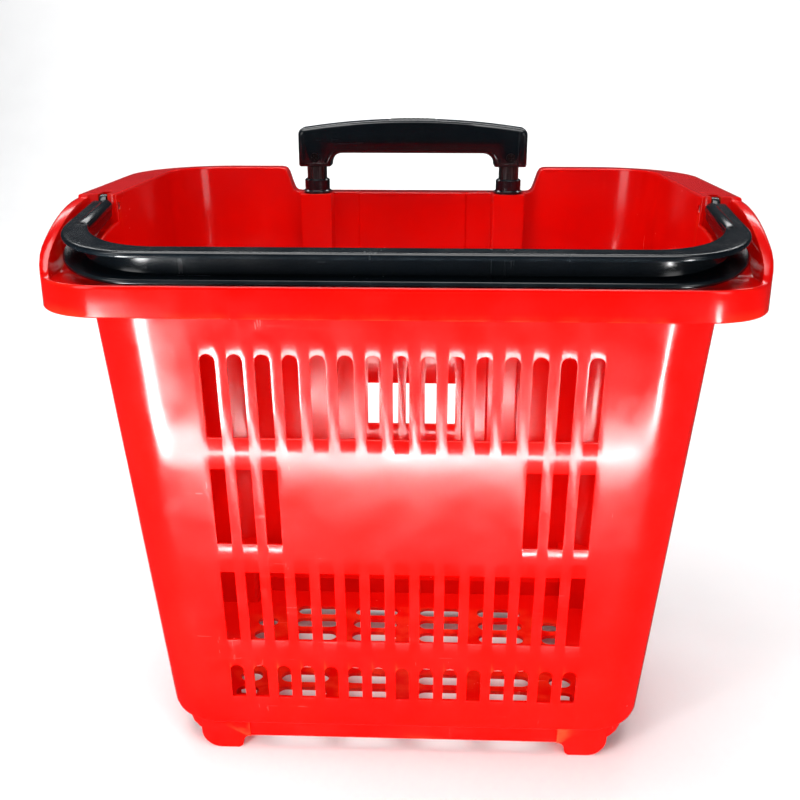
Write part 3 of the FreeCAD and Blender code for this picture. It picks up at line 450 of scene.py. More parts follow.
def rim_section(column):
    """Points from the wall's inner top edge, over the rim and round its skirt, to the wall's outer face.

    The heights e, h and l are those of the wall's top edge, the shelf behind the lip and the lip."""
    outer = column.on(rim_outline(0, 0))
    step_y = None
    if column.kind == "side" and abs(column.value - SHOULDER_Y) < 1.5:
        ahead = column.value < SHOULDER_Y
        step_y = SHOULDER_Y - 0.7 if ahead else SHOULDER_Y + 0.2
    y_here = outer[1] if step_y is None else step_y
    at_notch = column.kind == "back"

    def heights(y):
        if y_here > SHOULDER_Y:
            top = notch_height(column.value) if at_notch else RIM_TOP
            return top, top, top
        y = min(y, SHOULDER_Y)
        return (rim_line(y, EDGE_FRONT, EDGE_ARC, RIM_TOP), rim_line(y, SHELF_FRONT, SHELF_ARC, RIM_TOP),
                rim_line(y, FRONT_TOP, LIP_ARC, RIM_TOP))

    points = []

    def add(x, y, z, under=False):
        if step_y is not None:
            y = step_y + (WALL if under else 0)
        if under and at_notch:
            slope = notch_slope(column.value)
            run = math.hypot(1, slope)
            x += WALL * slope / run
            z += WALL - WALL / run
        points.append((x, y, z))

    def on_wall(inset, height, under=False):
        edge, shelf, lip = heights(column.on(wall_outline(400, inset))[1])
        z = height(edge, shelf, lip)
        x, y, z = wall_point(column, z, inset, inset > 1.6)
        add(x, y, z, under)

    def on_rim(side, front, height, under=False):
        x, y = column.on(rim_outline(side, front))
        add(x, y, height(*heights(y)), under)

    lip_here = math.dist(outer, column.on(rim_outline(8, 2)))
    hollow = min(1.0, max(0.0, (lip_here - 5) / 3))

    def edge_drop(edge, shelf):
        return min(1.0, (edge - shelf) / 3)

    for inset, drop in ((3, 2.0), (2.85, 0.9), (2.4, 0.2), (1.5, 0)):
        on_wall(inset, lambda e, h, l: e - drop)
    on_wall(0.7, lambda e, h, l: e - 0.2 * edge_drop(e, h))
    on_wall(0.15, lambda e, h, l: e - 1.0 * edge_drop(e, h))
    on_wall(0, lambda e, h, l: h + 0.9 * edge_drop(e, h))
    on_wall(-1.0, lambda e, h, l: h)
    inner = column.on(wall_outline(405, -1.0))
    lip_edge = column.on(rim_outline(9, 3))
    for share in (0.35, 0.7):
        x = inner[0] + (lip_edge[0] - inner[0]) * share
        y = inner[1] + (lip_edge[1] - inner[1]) * share
        add(x, y, heights(y)[1])
    on_rim(9.2, 3.1, lambda e, h, l: h)
    on_rim(8.3, 2.3, lambda e, h, l: h + min(0.3, l - h))
    on_rim(8, 2, lambda e, h, l: h + min(1.2, (l - h) * 0.4))
    on_rim(8, 2, lambda e, h, l: l - min(1.5, (l - h) * 0.4))
    on_rim(7.5, 1.8, lambda e, h, l: l - min(0.4, (l - h) * 0.2))
    for side, front, drop in ((6.6, 1.4, 0), (2.4, 1.0, 0), (1.0, 0.6, 0.25), (0.28, 0.2, 0.95), (0, 0, 2.4)):
        on_rim(side, front, lambda e, h, l: l - drop)
    for inset, rise in ((0, 9), (0, 0.9), (0.8, 0), (1.9, 0), (SKIRT, 0.7)):
        on_rim(inset, inset, lambda e, h, l: SKIRT_FOOT + rise)
    on_rim(SKIRT, SKIRT, lambda e, h, l: SKIRT_FOOT + 9, True)
    on_rim(SKIRT, SKIRT, lambda e, h, l: h - WALL + (l - h) * hollow, True)
    on_rim(5.5, 2.6, lambda e, h, l: h - WALL + (l - h) * hollow, True)
    on_rim(5.5, 2.7, lambda e, h, l: h - WALL, True)
    on_wall(-1.0, lambda e, h, l: h - WALL, True)
    on_wall(0, lambda e, h, l: h - WALL - 1.0, True)
    return points


def shell_slots(columns):
    """Column runs and row runs of the wall slots, as ((first, last column), (first, last row))."""
    slots = []
    runs = {}
    for index, column in enumerate(columns):
        if column.slot is not None:
            runs.setdefault((column.kind, column.slot), []).append(index)
    for (kind, slot), indices in runs.items():
        for name, (foot, top) in SLOT_ROWS.items():
            if slot not in BLANK_SLOTS.get((kind, name), ()):
                slots.append(((indices[0], indices[-1]), (WALL_ROWS.index(foot), WALL_ROWS.index(top))))
    return slots


def basket_shell():
    """The moulded shell: one closed mesh whose slots are open cells between its inner and outer walls."""
    columns = all_columns()
    rows = len(WALL_ROWS)
    half = []
    for column in columns:
        line = []
        for angle in (0, 30, 60, 90):
            turn = math.radians(angle)
            inset = FOOT_CURVE - (FOOT_CURVE - WALL) * math.sin(turn)
            z = FLOOR_TOP + (FOOT_CURVE - WALL) * (1 - math.cos(turn))
            line.append(wall_point(column, z, inset, True))
        first_inner = len(line)
        line += [wall_point(column, row_height(row, column), WALL, True) for row in WALL_ROWS]
        line += rim_section(column)
        last_outer = len(line) + rows - 1
        line += [wall_point(column, row_height(row, column), 0, False) for row in reversed(WALL_ROWS)]
        for angle in (90, 60, 30, 0):
            turn = math.radians(angle)
            z = WALL_FOOT + FOOT_CURVE - FOOT_CURVE * math.cos(turn)
            line.append(wall_point(column, z, FOOT_CURVE - FOOT_CURVE * math.sin(turn), False))
        half.append(line)

    count = len(half)
    around = half + [[(-x, y, z) for x, y, z in line] for line in reversed(half[1:-1])]
    total = len(around)
    depth = len(around[0])
    open_cells = set()
    for (first, last), (low, high) in shell_slots(columns):
        for index in range(first, last):
            for row in range(low, high):
                open_cells.add((index, row))
                open_cells.add((total - 1 - index, row))
    for row in set(row for index, row in open_cells if index == 0):
        open_cells.add((total - 1, row))
    for row in set(row for index, row in open_cells if index == count - 2):
        open_cells.add((count - 1, row))

    def number(index, place):
        return (index % total) * depth + place

    faces = []
    for index in range(total):
        for place in range(depth - 1):
            inner_row, outer_row = place - first_inner, last_outer - place - 1
            if 0 <= inner_row < rows - 1 and (index, inner_row) in open_cells:
                continue
            if 0 <= outer_row < rows - 1 and (index, outer_row) in open_cells:
                continue
            faces.append((number(index, place), number(index + 1, place), number(index + 1, place + 1),
                          number(index, place + 1)))
    for index, row in open_cells:
        low_in, low_out = first_inner + row, last_outer - row
        high_in, high_out = low_in + 1, low_out - 1
        walls = (((index, row - 1), ((0, low_in), (1, low_in), (1, low_out), (0, low_out))),
                 ((index, row + 1), ((0, high_in), (1, high_in), (1, high_out), (0, high_out))),
                 (((index - 1) % total, row), ((0, low_in), (0, high_in), (0, high_out), (0, low_out))),
                 (((index + 1) % total, row), ((1, low_in), (1, high_in), (1, high_out), (1, low_out))))
        for neighbour, corners in walls:
            if neighbour not in open_cells:
                faces.append([number(index + step, place) for step, place in corners])
    faces.append([number(index, 0) for index in range(total)])
    faces.append([number(index, depth - 1) for index in range(total)])
    shell = make_object("moulded_basket", [point for line in around for point in line], faces)
    tidy = bmesh.new()
    tidy.from_mesh(shell.data)
    bmesh.ops.dissolve_degenerate(tidy, dist=0.00001, edges=tidy.edges)
    bmesh.ops.recalc_face_normals(tidy, faces=tidy.faces)
    tidy.to_mesh(shell.data)
    tidy.free()
    return shell


def full_outline(outline, steps=96):
    """A whole closed outline as (x, y) pairs."""
    half = [outline.at(outline.length * step / steps) for step in range(steps + 1)]
    return half + [(-x, y) for x, y in reversed(half[1:-1])]


def wall_solid(inset, low, high):
    """A solid block that fills the walls, for trimming what is built inside them."""
    rings = [[(x, y, z) for x, y in full_outline(wall_outline(z, inset))] for z in (low, high)]
    return loft("wall_solid", rings)


def rounded_box(name, x, y, z, radius, segments=4):
    """A block with all its edges rounded."""
    shape = bmesh.new()
    add_block(shape, x, y, z)
    bmesh.ops.bevel(shape, geom=list(shape.edges), offset=radius, segments=segments, profile=0.5,
                    affect="EDGES")
    return from_bmesh(name, shape)


def arches_and_tunnel():
    """The wheel arches and the axle tunnel, inside the walls."""
    blocks = block("tunnel_block", (-TUNNEL_HALF, TUNNEL_HALF), (TUNNEL_FRONT, TUNNEL_WALL_END),
                   (WALL_FOOT + 1, TUNNEL_TOP))
    for side, word in SIDES:
        x = sorted((side * ARCH_INNER, side * ARCH_OUTER))
        arch = rounded_box(f"arch_{word}", x, (ARCH_FRONT, TUNNEL_WALL_END), (20, ARCH_TOP), 4)
        combine(blocks, arch, "UNION")
    combine(blocks, wall_solid(1.5, WALL_FOOT + 0.5, 80), "INTERSECT")
    return blocks


def make_foot(side, word, front):
    """A front foot: rounded well on its outer bottom edge, swept into the skirt on its inner one."""
    outline = [(124, FLOOR_TOP - 0.8), (124, 11.5)]
    outline += arc(124, 5, 6.5, 90, 0, 6)
    outline += arc(135, 4.5, 4.5, 180, 270, 6)
    outline += arc(148, 16, 16, -90, 0, 9)
    outline.append((164, FLOOR_TOP - 0.8))
    shape = bmesh.new()
    add_prism(shape, [(side * x, z) for x, z in outline], front, front + 40, "Y")
    foot = from_bmesh(f"foot_{word}", shape)
    bevel(foot, 3.5, 5, 60)
    return foot


def underside():
    """The skirt under the floor, ribs and cheeks for the axle, and the front feet."""
    half, front = LOW_HALF - UNDER_INSET, LOW_FRONT + UNDER_INSET
    outer = full_outline(Outline(half, front, TUNNEL_FRONT + WALL, 40, 20), 60)
    inner = full_outline(Outline(half - WALL, front + WALL, TUNNEL_FRONT, 40 - WALL, 20 - WALL), 60)
    shape = bmesh.new()
    add_prism(shape, outer, UNDER_FOOT, FLOOR_TOP - 0.6)
    skirt = from_bmesh("under_skirt", shape)
    shape = bmesh.new()
    add_prism(shape, inner, UNDER_FOOT - 1, FLOOR_TOP + 5)
    combine(skirt, from_bmesh("under_hollow", shape), "DIFFERENCE")
    shape = bmesh.new()
    for x in (-RIB_X, RIB_X):
        add_block(shape, (x - RIB_HALF, x + RIB_HALF), (TUNNEL_FRONT + 1, AXLE_Y + RIB_BACK),
                  (AXLE_Z - 9, TUNNEL_TOP - 1))
    for side in (-1, 1):
        add_block(shape, sorted((side * CHEEK_INNER, side * TUNNEL_HALF)),
                  (AXLE_Y - CHEEK_REACH, AXLE_Y + CHEEK_REACH), (AXLE_Z - 10, TUNNEL_TOP - 1))
    combine(skirt, from_bmesh("axle_ribs", shape), "UNION")
    for side, word in SIDES:
        combine(skirt, make_foot(side, word, front - 2), "UNION")
    return skirt


def shell_cutters():
    """Everything taken out of the shell after its walls are made."""
    shape = bmesh.new()
    columns = [(side * x, 20.5) for side in (-1, 1) for x in (30.8, 85.8)]
    columns += [(side * 132, 9.3) for side in (-1, 1)]
    for row in range(8):
        y = -84.5 + FLOOR_SLOT_PITCH * row
        for index, (x, half) in enumerate(columns):
            if row == 7 and index > 3:
                continue
            flat = half - FLOOR_SLOT_RADIUS
            outline = arc(x + flat, y, FLOOR_SLOT_RADIUS, -90, 90, 12)
            outline += arc(x - flat, y, FLOOR_SLOT_RADIUS, 90, 270, 12)
            add_prism(shape, outline, FLOOR_TOP - 6, FLOOR_TOP + 3)
    for side in (-1, 1):
        add_block(shape, sorted((side * TUNNEL_HALF, side * WHEEL_SPACE_OUTER)),
                  (ARCH_FRONT + WALL, TUNNEL_WALL_END + 10), (-5, ARCH_TOP - WALL))
        eye = sorted((side * 219.3, side * 226.2))
        add_block(shape, eye, (SHOULDER_Y - 3, PIVOT_Y + 9.5), (PIVOT_Z - 10, RIM_TOP + 3))
        add_bar(shape, 12.0, 8, (side * TUBE_X, TUBE_Y, NOTCH_Z - 1.5))
    return from_bmesh("shell_cutters", shape)


def shell_bores():
    """Round holes for the pivot pins and the axle."""
    shape = bmesh.new()
    for side in (-1, 1):
        add_bar(shape, 3.0, 24, (side * 224, PIVOT_Y, PIVOT_Z), "X", 32)
    add_bar(shape, 4.0, 360, (0, AXLE_Y, AXLE_Z), "X", 32)
    return from_bmesh("shell_bores", shape)


def tunnel_hollow():
    """The space under the tunnel, where the axle runs."""
    hollow = block("tunnel_hollow", (-ARCH_INNER, ARCH_INNER), (TUNNEL_FRONT + WALL, TUNNEL_WALL_END),
                   (0, TUNNEL_TOP - WALL))
    combine(hollow, wall_solid(WALL, 20, 60), "INTERSECT")
    ribs = bmesh.new()
    for x in (-RIB_X, RIB_X):
        add_block(ribs, (x - RIB_HALF, x + RIB_HALF), (100, AXLE_Y + RIB_BACK), (0, 60))
    for side in (-1, 1):
        add_block(ribs, sorted((side * CHEEK_INNER, side * 160)), (AXLE_Y - CHEEK_REACH, AXLE_Y + CHEEK_REACH),
                  (0, 60))
    combine(hollow, from_bmesh("rib_keep", ribs), "DIFFERENCE")
    return hollow


def make_basket():
    """The whole red moulding."""
    shell = basket_shell()
    bevel(shell, 0.75, 2, 50)
    combine(shell, arches_and_tunnel(), "UNION")
    combine(shell, tunnel_hollow(), "DIFFERENCE")
    combine(shell, underside(), "UNION")
    for side, word in SIDES:
        combine(shell, rounded_box(f"pivot_block_{word}", sorted((side * 213, side * 237)),
                                   (SHOULDER_Y + 0.2, -22), (SHELF_ARC - 1, RIM_TOP - 0.2), 1.0, 2), "UNION")
    combine(shell, shell_cutters(), "DIFFERENCE")
    combine(shell, shell_bores(), "DIFFERENCE")
    smooth(shell, 38)
    return shell


# ---------- carry handle
BAIL_TOP = (420.8, 436.5)
BAIL_FOOT = (399.3, 424.5)
BAIL_END = -48.0


def bail_levels(y):
    """Heights of the carry handle's top and underside at y."""
    share = (y - bail_low.y) / (BAIL_END - bail_low.y)
    return (BAIL_FOOT[0] + (BAIL_FOOT[1] - BAIL_FOOT[0]) * share,
            BAIL_TOP[0] + (BAIL_TOP[1] - BAIL_TOP[0]) * share)


def bail_outline(inset):
    """Right half of the carry handle's plan, drawn in by inset with the same corner radius."""
    return Outline(bail_high.x - inset, bail_low.y + inset, 60, 60, 1)


# Points round the section: inset, 0 for the underside or 1 for the top, and height from it.
BAIL_SECTION = (
    (0.9, 1, -0.25), (1.9, 1, 0), (4.0, 1, -0.1), (11.0, 1, -0.1), (12.8, 1, -0.2), (13.7, 1, -0.8),
    (14.0, 1, -2.0), (14.0, 0, 2.0), (13.7, 0, 0.8), (12.8, 0, 0.2), (11.0, 0, 0.1), (4.0, 0, 0.1),
    (1.9, 0, 0), (0.9, 0, 0.25), (0.25, 0, 0.95), (0, 0, 1.9), (0.2, 0, 3.2), (0.9, 0, 3.9), (2.0, 0, 3.6),
    (9.3, 0, 4.0), (10.2, 0, 4.4), (10.5, 0, 5.4), (10.5, 1, -5.4), (10.2, 1, -4.4), (9.3, 1, -4.0),
    (2.0, 1, -3.6), (0.9, 1, -3.9), (0.2, 1, -3.2), (0, 1, -1.9), (0.25, 1, -0.95),
)


def make_bail():
    """The folding carry handle: a channel open to the outside, with a tongue and an eye at each end."""
    spots = [("front", step / 14) for step in range(15)]
    spots += [("turn", step / 24) for step in range(1, 25)]
    spots += [("side", step / 14) for step in range(1, 15)]
    half = []
    for kind, value in spots:
        line = []
        for inset, level, shift in BAIL_SECTION:
            outline = bail_outline(inset)
            start, reach = {"front": (0, outline.front_flat),
                            "turn": (outline.front_flat, outline.front_arc - outline.front_flat),
                            "side": (outline.front_arc, BAIL_END - outline.side_low)}[kind]
            x, y = outline.at(start + reach * value)
            line.append((x, y, bail_levels(y)[level] + shift))
        half.append(line)
    around = [[(-x, y, z) for x, y, z in line] for line in reversed(half[1:])] + half
    bail = loft("folding_handle", around)
    for side, word in SIDES:
        shape = bmesh.new()
        outline = [(BAIL_END - 6, PIVOT_Z - 5.2), (BAIL_END - 6, PIVOT_Z + 4.2)]
        outline += arc(PIVOT_Y, PIVOT_Z, 8.5, 150, -150, 24)
        add_prism(shape, outline, side * 220.0, side * 225.5, "X")
        tongue = from_bmesh(f"tongue_{word}", shape)
        bevel(tongue, 0.9, 2, 50)
        barrel = bmesh.new()
        add_bar(barrel, 4.6, 56, (side * 217.2, -78, 0), "Y", 24)
        for vertex in barrel.verts:
            vertex.co.z += bail_levels(vertex.co.y)[1] - 3.2
        sleeve = from_bmesh(f"barrel_{word}", barrel)
        bevel(sleeve, 1.2, 3, 50)
        combine(bail, sleeve, "UNION")
        combine(bail, tongue, "UNION")
        bore = bmesh.new()
        add_bar(bore, 3.08, 20, (side * 222.75, PIVOT_Y, PIVOT_Z), "X", 32)
        combine(bail, from_bmesh(f"eye_bore_{word}", bore), "DIFFERENCE")
    smooth(bail, 35)
    return bail


# ---------- pull handle grip
def grip_line(inset):
    """Closed outline of the grip's front view as (x, z) pairs, drawn in by inset."""
    half = grip_high.x - inset
    inner = grip_high.x - 29 + inset
    foot = grip_low.z + inset
    underside = 454 + inset
    shoulder = 475 - inset
    arch = 8
    top_radius = max(6 - inset, 1)
    inner_radius = 10 + inset * 0.5
    right = []
    for step in range(29):
        x = (half - top_radius) * step / 28
        right.append((x, shoulder + arch * (1 - (x / half) ** 2)))
    centre_z = right[-1][1] - top_radius
    right += arc(half - top_radius, centre_z, top_radius, 75, 0, 5)
    right += [(half, foot + 2), (half - 0.6, foot + 0.5), (half - 2, foot),
              (inner + 2, foot), (inner + 0.6, foot + 0.5), (inner, foot + 1.6)]
    right += arc(inner - inner_radius, underside - inner_radius, inner_radius, 0, 90, 6)
    right.append((0, underside))
    left = [(-x, z) for x, z in reversed(right[1:-1])]
    return right + left


def grip_half(word, front):
    """One hollow grip shell, with a crowned face, rounded rim, tube bores and the button's opening."""
    way = -1 if front else 1
    face = (TUBE_Y - grip_low.y) if front else (grip_back - TUBE_Y)
    rings = ((0.0, 0.0), (0.0, 0.55 * face), (0.25, 0.72 * face), (1.0, 0.86 * face), (2.2, 0.95 * face),
             (4.2, 0.985 * face), (5.4, 0.985 * face), (6.0, face))
    lines = [[(x, TUBE_Y + way * depth, z) for x, z in grip_line(inset)] for inset, depth in rings]
    shell = loft(f"grip_{word}", lines)
    cutters = bmesh.new()
    for side in (-1, 1):
        add_bar(cutters, 8.9, 30, (side * TUBE_X, TUBE_Y, grip_low.z + 5))
        if front:
            add_bar(cutters, 4.1, 6, (side * 87, grip_low.y + 0.4, 450.5), "Y", 32)
    add_block(cutters, (button_low.x - 0.4, button_high.x + 0.4), (button_low.y - 0.4, button_high.y + 0.4),
              (466.5, 500))
    combine(shell, from_bmesh(f"grip_{word}_cutters", cutters), "DIFFERENCE")
    hollow = block(f"grip_{word}_hollow", (-TUBE_X - 6, TUBE_X + 6), (TUBE_Y - 10.2, TUBE_Y + 10.2), (457, 474))
    combine(shell, hollow, "DIFFERENCE")
    smooth(shell, 32)
    return shell


def make_button():
    """The release button, crowned and ribbed for the thumb."""
    half = button_high.x
    columns = 42
    lines = []
    for step in range(columns + 1):
        x = -half + 2 * half * step / columns
        top = 483 - 8 * (x / grip_high.x) ** 2 + 0.25
        rib = 0.45 if step % 4 in (1, 2) and 6 < step < 36 else 0
        end = min(1.0, (half - abs(x)) / 1.5)
        line = []
        for across in (-10.4, -9.9, -8.8, -4.4, 0, 4.4, 8.8, 9.9, 10.4):
            edge = max(0.0, abs(across) - 8.8)
            fall = 1.1 * (edge / 1.6) ** 2 + 1.2 * (1 - end) ** 2
            line.append((x, TUBE_Y + across, top - fall + (rib if abs(across) < 8 else 0)))
        line += [(x, TUBE_Y + 10.4, button_low.z), (x, TUBE_Y - 10.4, button_low.z)]
        lines.append(line)
    button = loft("thumb_button", lines)
    smooth(button, 35)
    return button


def make_spring():
    """The button's return spring: a round wire wound in even turns."""
    coil = (spring_high.x - spring_low.x) / 2 - SPRING_WIRE
    foot = spring_low.z + SPRING_WIRE
    climb = spring_high.z - spring_low.z - 2 * SPRING_WIRE
    steps = SPRING_TURNS * 28
    x, y, _ = middle("button_spring")
    rings = []
    for step in range(steps + 1):
        share = step / steps
        turn = 2 * math.pi * SPRING_TURNS * share
        ring = []
        for corner in range(8):
            around = math.radians(45 * corner)
            reach = coil + SPRING_WIRE * math.cos(around)
            ring.append((x + reach * math.cos(turn), y + reach * math.sin(turn),
                         foot + climb * share + SPRING_WIRE * math.sin(around)))
        rings.append(ring)
    spring = loft("return_spring", rings)
    smooth(spring, 50)
    return spring


# ---------- wheels
def make_tyre(side, word):
    """A tyre with rounded shoulders and three shallow grooves."""
    outer = tyre_high.z - AXLE_Z
    half = (tyre_high.x - tyre_low.x) / 2
    bore = (hub_high.z - hub_low.z) / 2
    profile = [(bore, -half), (bore + 3.2, -half), (bore + 4.6, -half + 0.5), (outer - 1.4, -half + 1.6),
               (outer - 0.4, -half + 2.9)]
    for groove in (-4.5, 0, 4.5):
        profile += [(outer, groove - 1.3), (outer - 0.9, groove - 0.7), (outer - 0.9, groove + 0.7),
                    (outer, groove + 1.3)]
    profile += [(outer - 0.4, half - 2.9), (outer - 1.4, half - 1.6), (bore + 4.6, half - 0.5),
                (bore + 3.2, half), (bore, half)]
    tyre = lathe(f"wheel_tyre_{word}", profile, 112)
    tyre.data.transform(Matrix.Translation(Vector((side * WHEEL_X, AXLE_Y, AXLE_Z)) * MM))
    smooth(tyre, 30)
    return tyre


def make_hub(side, word):
    """A moulded hub: rim ring, boss and six spokes."""
    outer = (hub_high.z - hub_low.z) / 2
    half = (hub_high.x - hub_low.x) / 2
    rim = lathe(f"wheel_disc_{word}", [
        (outer, -half + 0.2), (outer, half - 0.2), (outer - 2.0, half - 0.2), (outer - 3.2, half - 1.2),
        (outer - 3.6, 2.5), (outer - 3.6, -2.5), (outer - 3.2, -half + 1.2), (outer - 2.0, -half + 0.2)], 96)
    boss = lathe(f"boss_{word}", [
        (4.08, -half), (8.2, -half), (9.2, -half + 1.0), (9.8, -2), (9.8, 2), (9.2, half - 1.0), (8.2, half),
        (4.08, half)], 64)
    spokes = bmesh.new()
    for step in range(6):
        made = add_block(spokes, (-3.0, 3.0), (-2.6, 2.6), (8.6, outer - 2.5))
        for vertex in made:
            if vertex.co.z > 15:
                vertex.co.y *= 1.7
        turn = Matrix.Rotation(math.radians(60 * step), 3, "X")
        bmesh.ops.rotate(spokes, cent=(0, 0, 0), matrix=turn, verts=made)
    star = from_bmesh(f"spokes_{word}", spokes)
    bevel(star, 0.8, 2, 40)
    combine(rim, star, "UNION")
    combine(rim, boss, "UNION")
    rim.data.transform(Matrix.Translation(Vector((side * WHEEL_X, AXLE_Y, AXLE_Z)) * MM))
    smooth(rim, 35)
    return rim


# ---------- materials
class Nodes:
    """A short way to build a material's nodes."""

    def __init__(self, name):
        self.material = bpy.data.materials.new(name)
        self.material.use_nodes = True
        self.tree = self.material.node_tree
        self.shader = self.tree.nodes["Principled BSDF"]
        self.place = self.add("ShaderNodeNewGeometry").outputs["Position"]

    def add(self, kind, **values):
        """Add a node and set its values."""
        node = self.tree.nodes.new(kind)
        for key, value in values.items():
            if hasattr(node, key):
                setattr(node, key, value)
            else:
                node.inputs[key.replace("_", " ")].default_value = value
        return node

    def link(self, source, target):
        """Join two sockets."""
        self.tree.links.new(source, target)

    def feed(self, socket, value):
        """Give an input a number, a colour or another node's output."""
        if isinstance(value, (int, float)):
            socket.default_value = value
        elif isinstance(value, tuple):
            socket.default_value = (*value, 1.0)
        else:
            self.link(value, socket)

    def set(self, **values):
        """Set the shader's own sockets."""
        for key, value in values.items():
            self.shader.inputs[key.replace("_", " ")].default_value = value

    def noise(self, scale, detail=3.0, roughness=0.5, stretch=(1, 1, 1)):
        """A noise value over the object's position."""
        mapping = self.add("ShaderNodeMapping")
        mapping.inputs["Scale"].default_value = stretch
        self.link(self.place, mapping.inputs["Vector"])
        texture = self.add("ShaderNodeTexNoise", Scale=scale, Detail=detail, Roughness=roughness)
        self.link(mapping.outputs["Vector"], texture.inputs["Vector"])
        return texture.outputs["Fac"]

    def ramp(self, value, low, high, low_out=0.0, high_out=1.0):
        """Map a value between two limits."""
        node = self.add("ShaderNodeMapRange")
        node.inputs["From Min"].default_value = low
        node.inputs["From Max"].default_value = high
        node.inputs["To Min"].default_value = low_out
        node.inputs["To Max"].default_value = high_out
        self.link(value, node.inputs["Value"])
        return node.outputs["Result"]

    def mix(self, factor, first, second):
        """Mix two colours, each a socket or a plain colour."""
        node = self.add("ShaderNodeMix", data_type="RGBA")
        self.feed(node.inputs[0], factor)
        self.feed(node.inputs[6], first)
        self.feed(node.inputs[7], second)
        return node.outputs[2]

    def math(self, operation, first, second):
        """Combine two values."""
        node = self.add("ShaderNodeMath", operation=operation)
        self.feed(node.inputs[0], first)
        self.feed(node.inputs[1], second)
        return node.outputs[0]

    def wear(self):
        """High along worn convex edges."""
        return self.ramp(self.add("ShaderNodeNewGeometry").outputs["Pointiness"], 0.53, 0.62)

    def bump(self, layers):
        """Stack height layers of (height socket, strength, distance in metres) into the normal."""
        normal = None
        for height, strength, distance in layers:
            node = self.add("ShaderNodeBump", Strength=strength, Distance=distance)
            self.link(height, node.inputs["Height"])
            if normal is not None:
                self.link(normal, node.inputs["Normal"])
            normal = node.outputs["Normal"]
        self.link(normal, self.shader.inputs["Normal"])


def plastic(name, colour, deep, light, roughness, scratches=0.25, grain=0.0, wear_colour=None):
    """Moulded plastic: slow colour drift, fine scratches, faint waviness and paler worn edges."""
    made = Nodes(name)
    drift = made.ramp(made.noise(9, 2), 0.35, 0.65)
    base = made.mix(drift, deep, colour)
    scratch_a = made.ramp(made.noise(260, 2, 0.6, (1, 1, 0.06)), 0.63, 0.72)
    scratch_b = made.ramp(made.noise(300, 2, 0.6, (0.05, 1, 1)), 0.64, 0.72)
    scratch = made.math("MAXIMUM", scratch_a, scratch_b)
    patches = made.ramp(made.noise(14, 3), 0.45, 0.65)
    marked = made.math("MULTIPLY", scratch, patches)
    base = made.mix(made.math("MULTIPLY", marked, scratches * 0.25), base, light)
    worn = made.math("MULTIPLY", made.wear(), made.ramp(made.noise(60, 3), 0.4, 0.6))
    base = made.mix(made.math("MULTIPLY", worn, 0.5), base, wear_colour or light)
    made.link(base, made.shader.inputs["Base Color"])
    rough = made.ramp(made.noise(40, 4, 0.6), 0.3, 0.7, roughness - 0.04, roughness + 0.06)
    rough = made.math("ADD", rough, made.math("MULTIPLY", marked, scratches))
    made.link(rough, made.shader.inputs["Roughness"])
    layers = [(made.noise(18, 2), 0.06, 0.004), (marked, 0.04, 0.0002)]
    if grain:
        layers.append((made.noise(900, 2), grain, 0.0003))
    made.bump(layers)
    return made


def metal(name, colour, roughness, stretch=(1, 1, 0.03), metallic=1.0):
    """Drawn or plated metal with fine lines along its length."""
    made = Nodes(name)
    lines = made.noise(700, 2, 0.6, stretch)
    made.link(made.mix(made.ramp(lines, 0.35, 0.65), tuple(c * 0.82 for c in colour), colour),
              made.shader.inputs["Base Color"])
    made.link(made.ramp(lines, 0.3, 0.7, roughness - 0.06, roughness + 0.1), made.shader.inputs["Roughness"])
    made.set(Metallic=metallic)
    made.bump([(lines, 0.08, 0.0002), (made.noise(30, 3), 0.04, 0.001)])
    return made


red = plastic("red_polypropylene", (0.75, 0.0022, 0.0007), (0.67, 0.001, 0.0004), (1.0, 0.10, 0.05), 0.15, 0.14,
              wear_colour=(1.0, 0.10, 0.03))
red.set(IOR=1.5)
black = plastic("black_handle_plastic", (0.003, 0.0055, 0.008), (0.002, 0.0035, 0.005), (0.04, 0.055, 0.065),
                0.19, 0.2, 0.05)
black.set(IOR=1.5)
matt_black = plastic("black_bracket_plastic", (0.020, 0.021, 0.022), (0.013, 0.014, 0.015), (0.10, 0.10, 0.10),
                     0.48, 0.2, 0.25)
tube_black = metal("black_tube_coating", (0.016, 0.018, 0.020), 0.26, metallic=0.15)
steel = metal("zinc_plated_steel", (0.58, 0.58, 0.60), 0.30, (0.03, 1, 1))
dark_steel = metal("black_screw_steel", (0.03, 0.031, 0.033), 0.32, metallic=0.9)
rubber = plastic("grey_tread_rubber", (0.07, 0.07, 0.074), (0.045, 0.045, 0.048), (0.17, 0.165, 0.155),
                 0.62, 0.4, 0.35)
floor_paint = plastic("pale_floor", (0.90, 0.90, 0.90), (0.885, 0.885, 0.885), (0.93, 0.93, 0.93), 0.75, 0.05)


def dress(thing, look):
    """Give an object one material."""
    thing.data.materials.clear()
    thing.data.materials.append(look.material)


# ---------- assembly
def finish_piece(piece, body, slot, look, *nodes):
    """Material, body and the CAD nodes a piece stands for; the slot argument is not used."""
    dress(piece, look)
    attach(piece, body)
    if nodes:
        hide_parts(*nodes)


finish_piece(make_basket(), "basket", "basket_plastic", red, "basket_body")
finish_piece(make_bail(), "folding_handle", "handle_plastic", black, "carry_handle")
finish_piece(grip_half("front", True), "pull_handle", "handle_plastic", black, "grip_front_shell")
finish_piece(grip_half("rear", False), "pull_handle", "handle_plastic", black, "grip_rear_shell")
finish_piece(make_button(), "button_set", "button_plastic", matt_black, "release_button")
spring = make_spring()
finish_piece(spring, "pull_handle", "steel", steel, "button_spring")
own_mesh(spring)
for side, word in SIDES:
    finish_piece(make_tyre(side, word), f"{word}_wheel", "tread", rubber, f"tyre_{word}")
    finish_piece(make_hub(side, word), f"{word}_wheel", "hub_plastic", matt_black, f"wheel_hub_{word}")

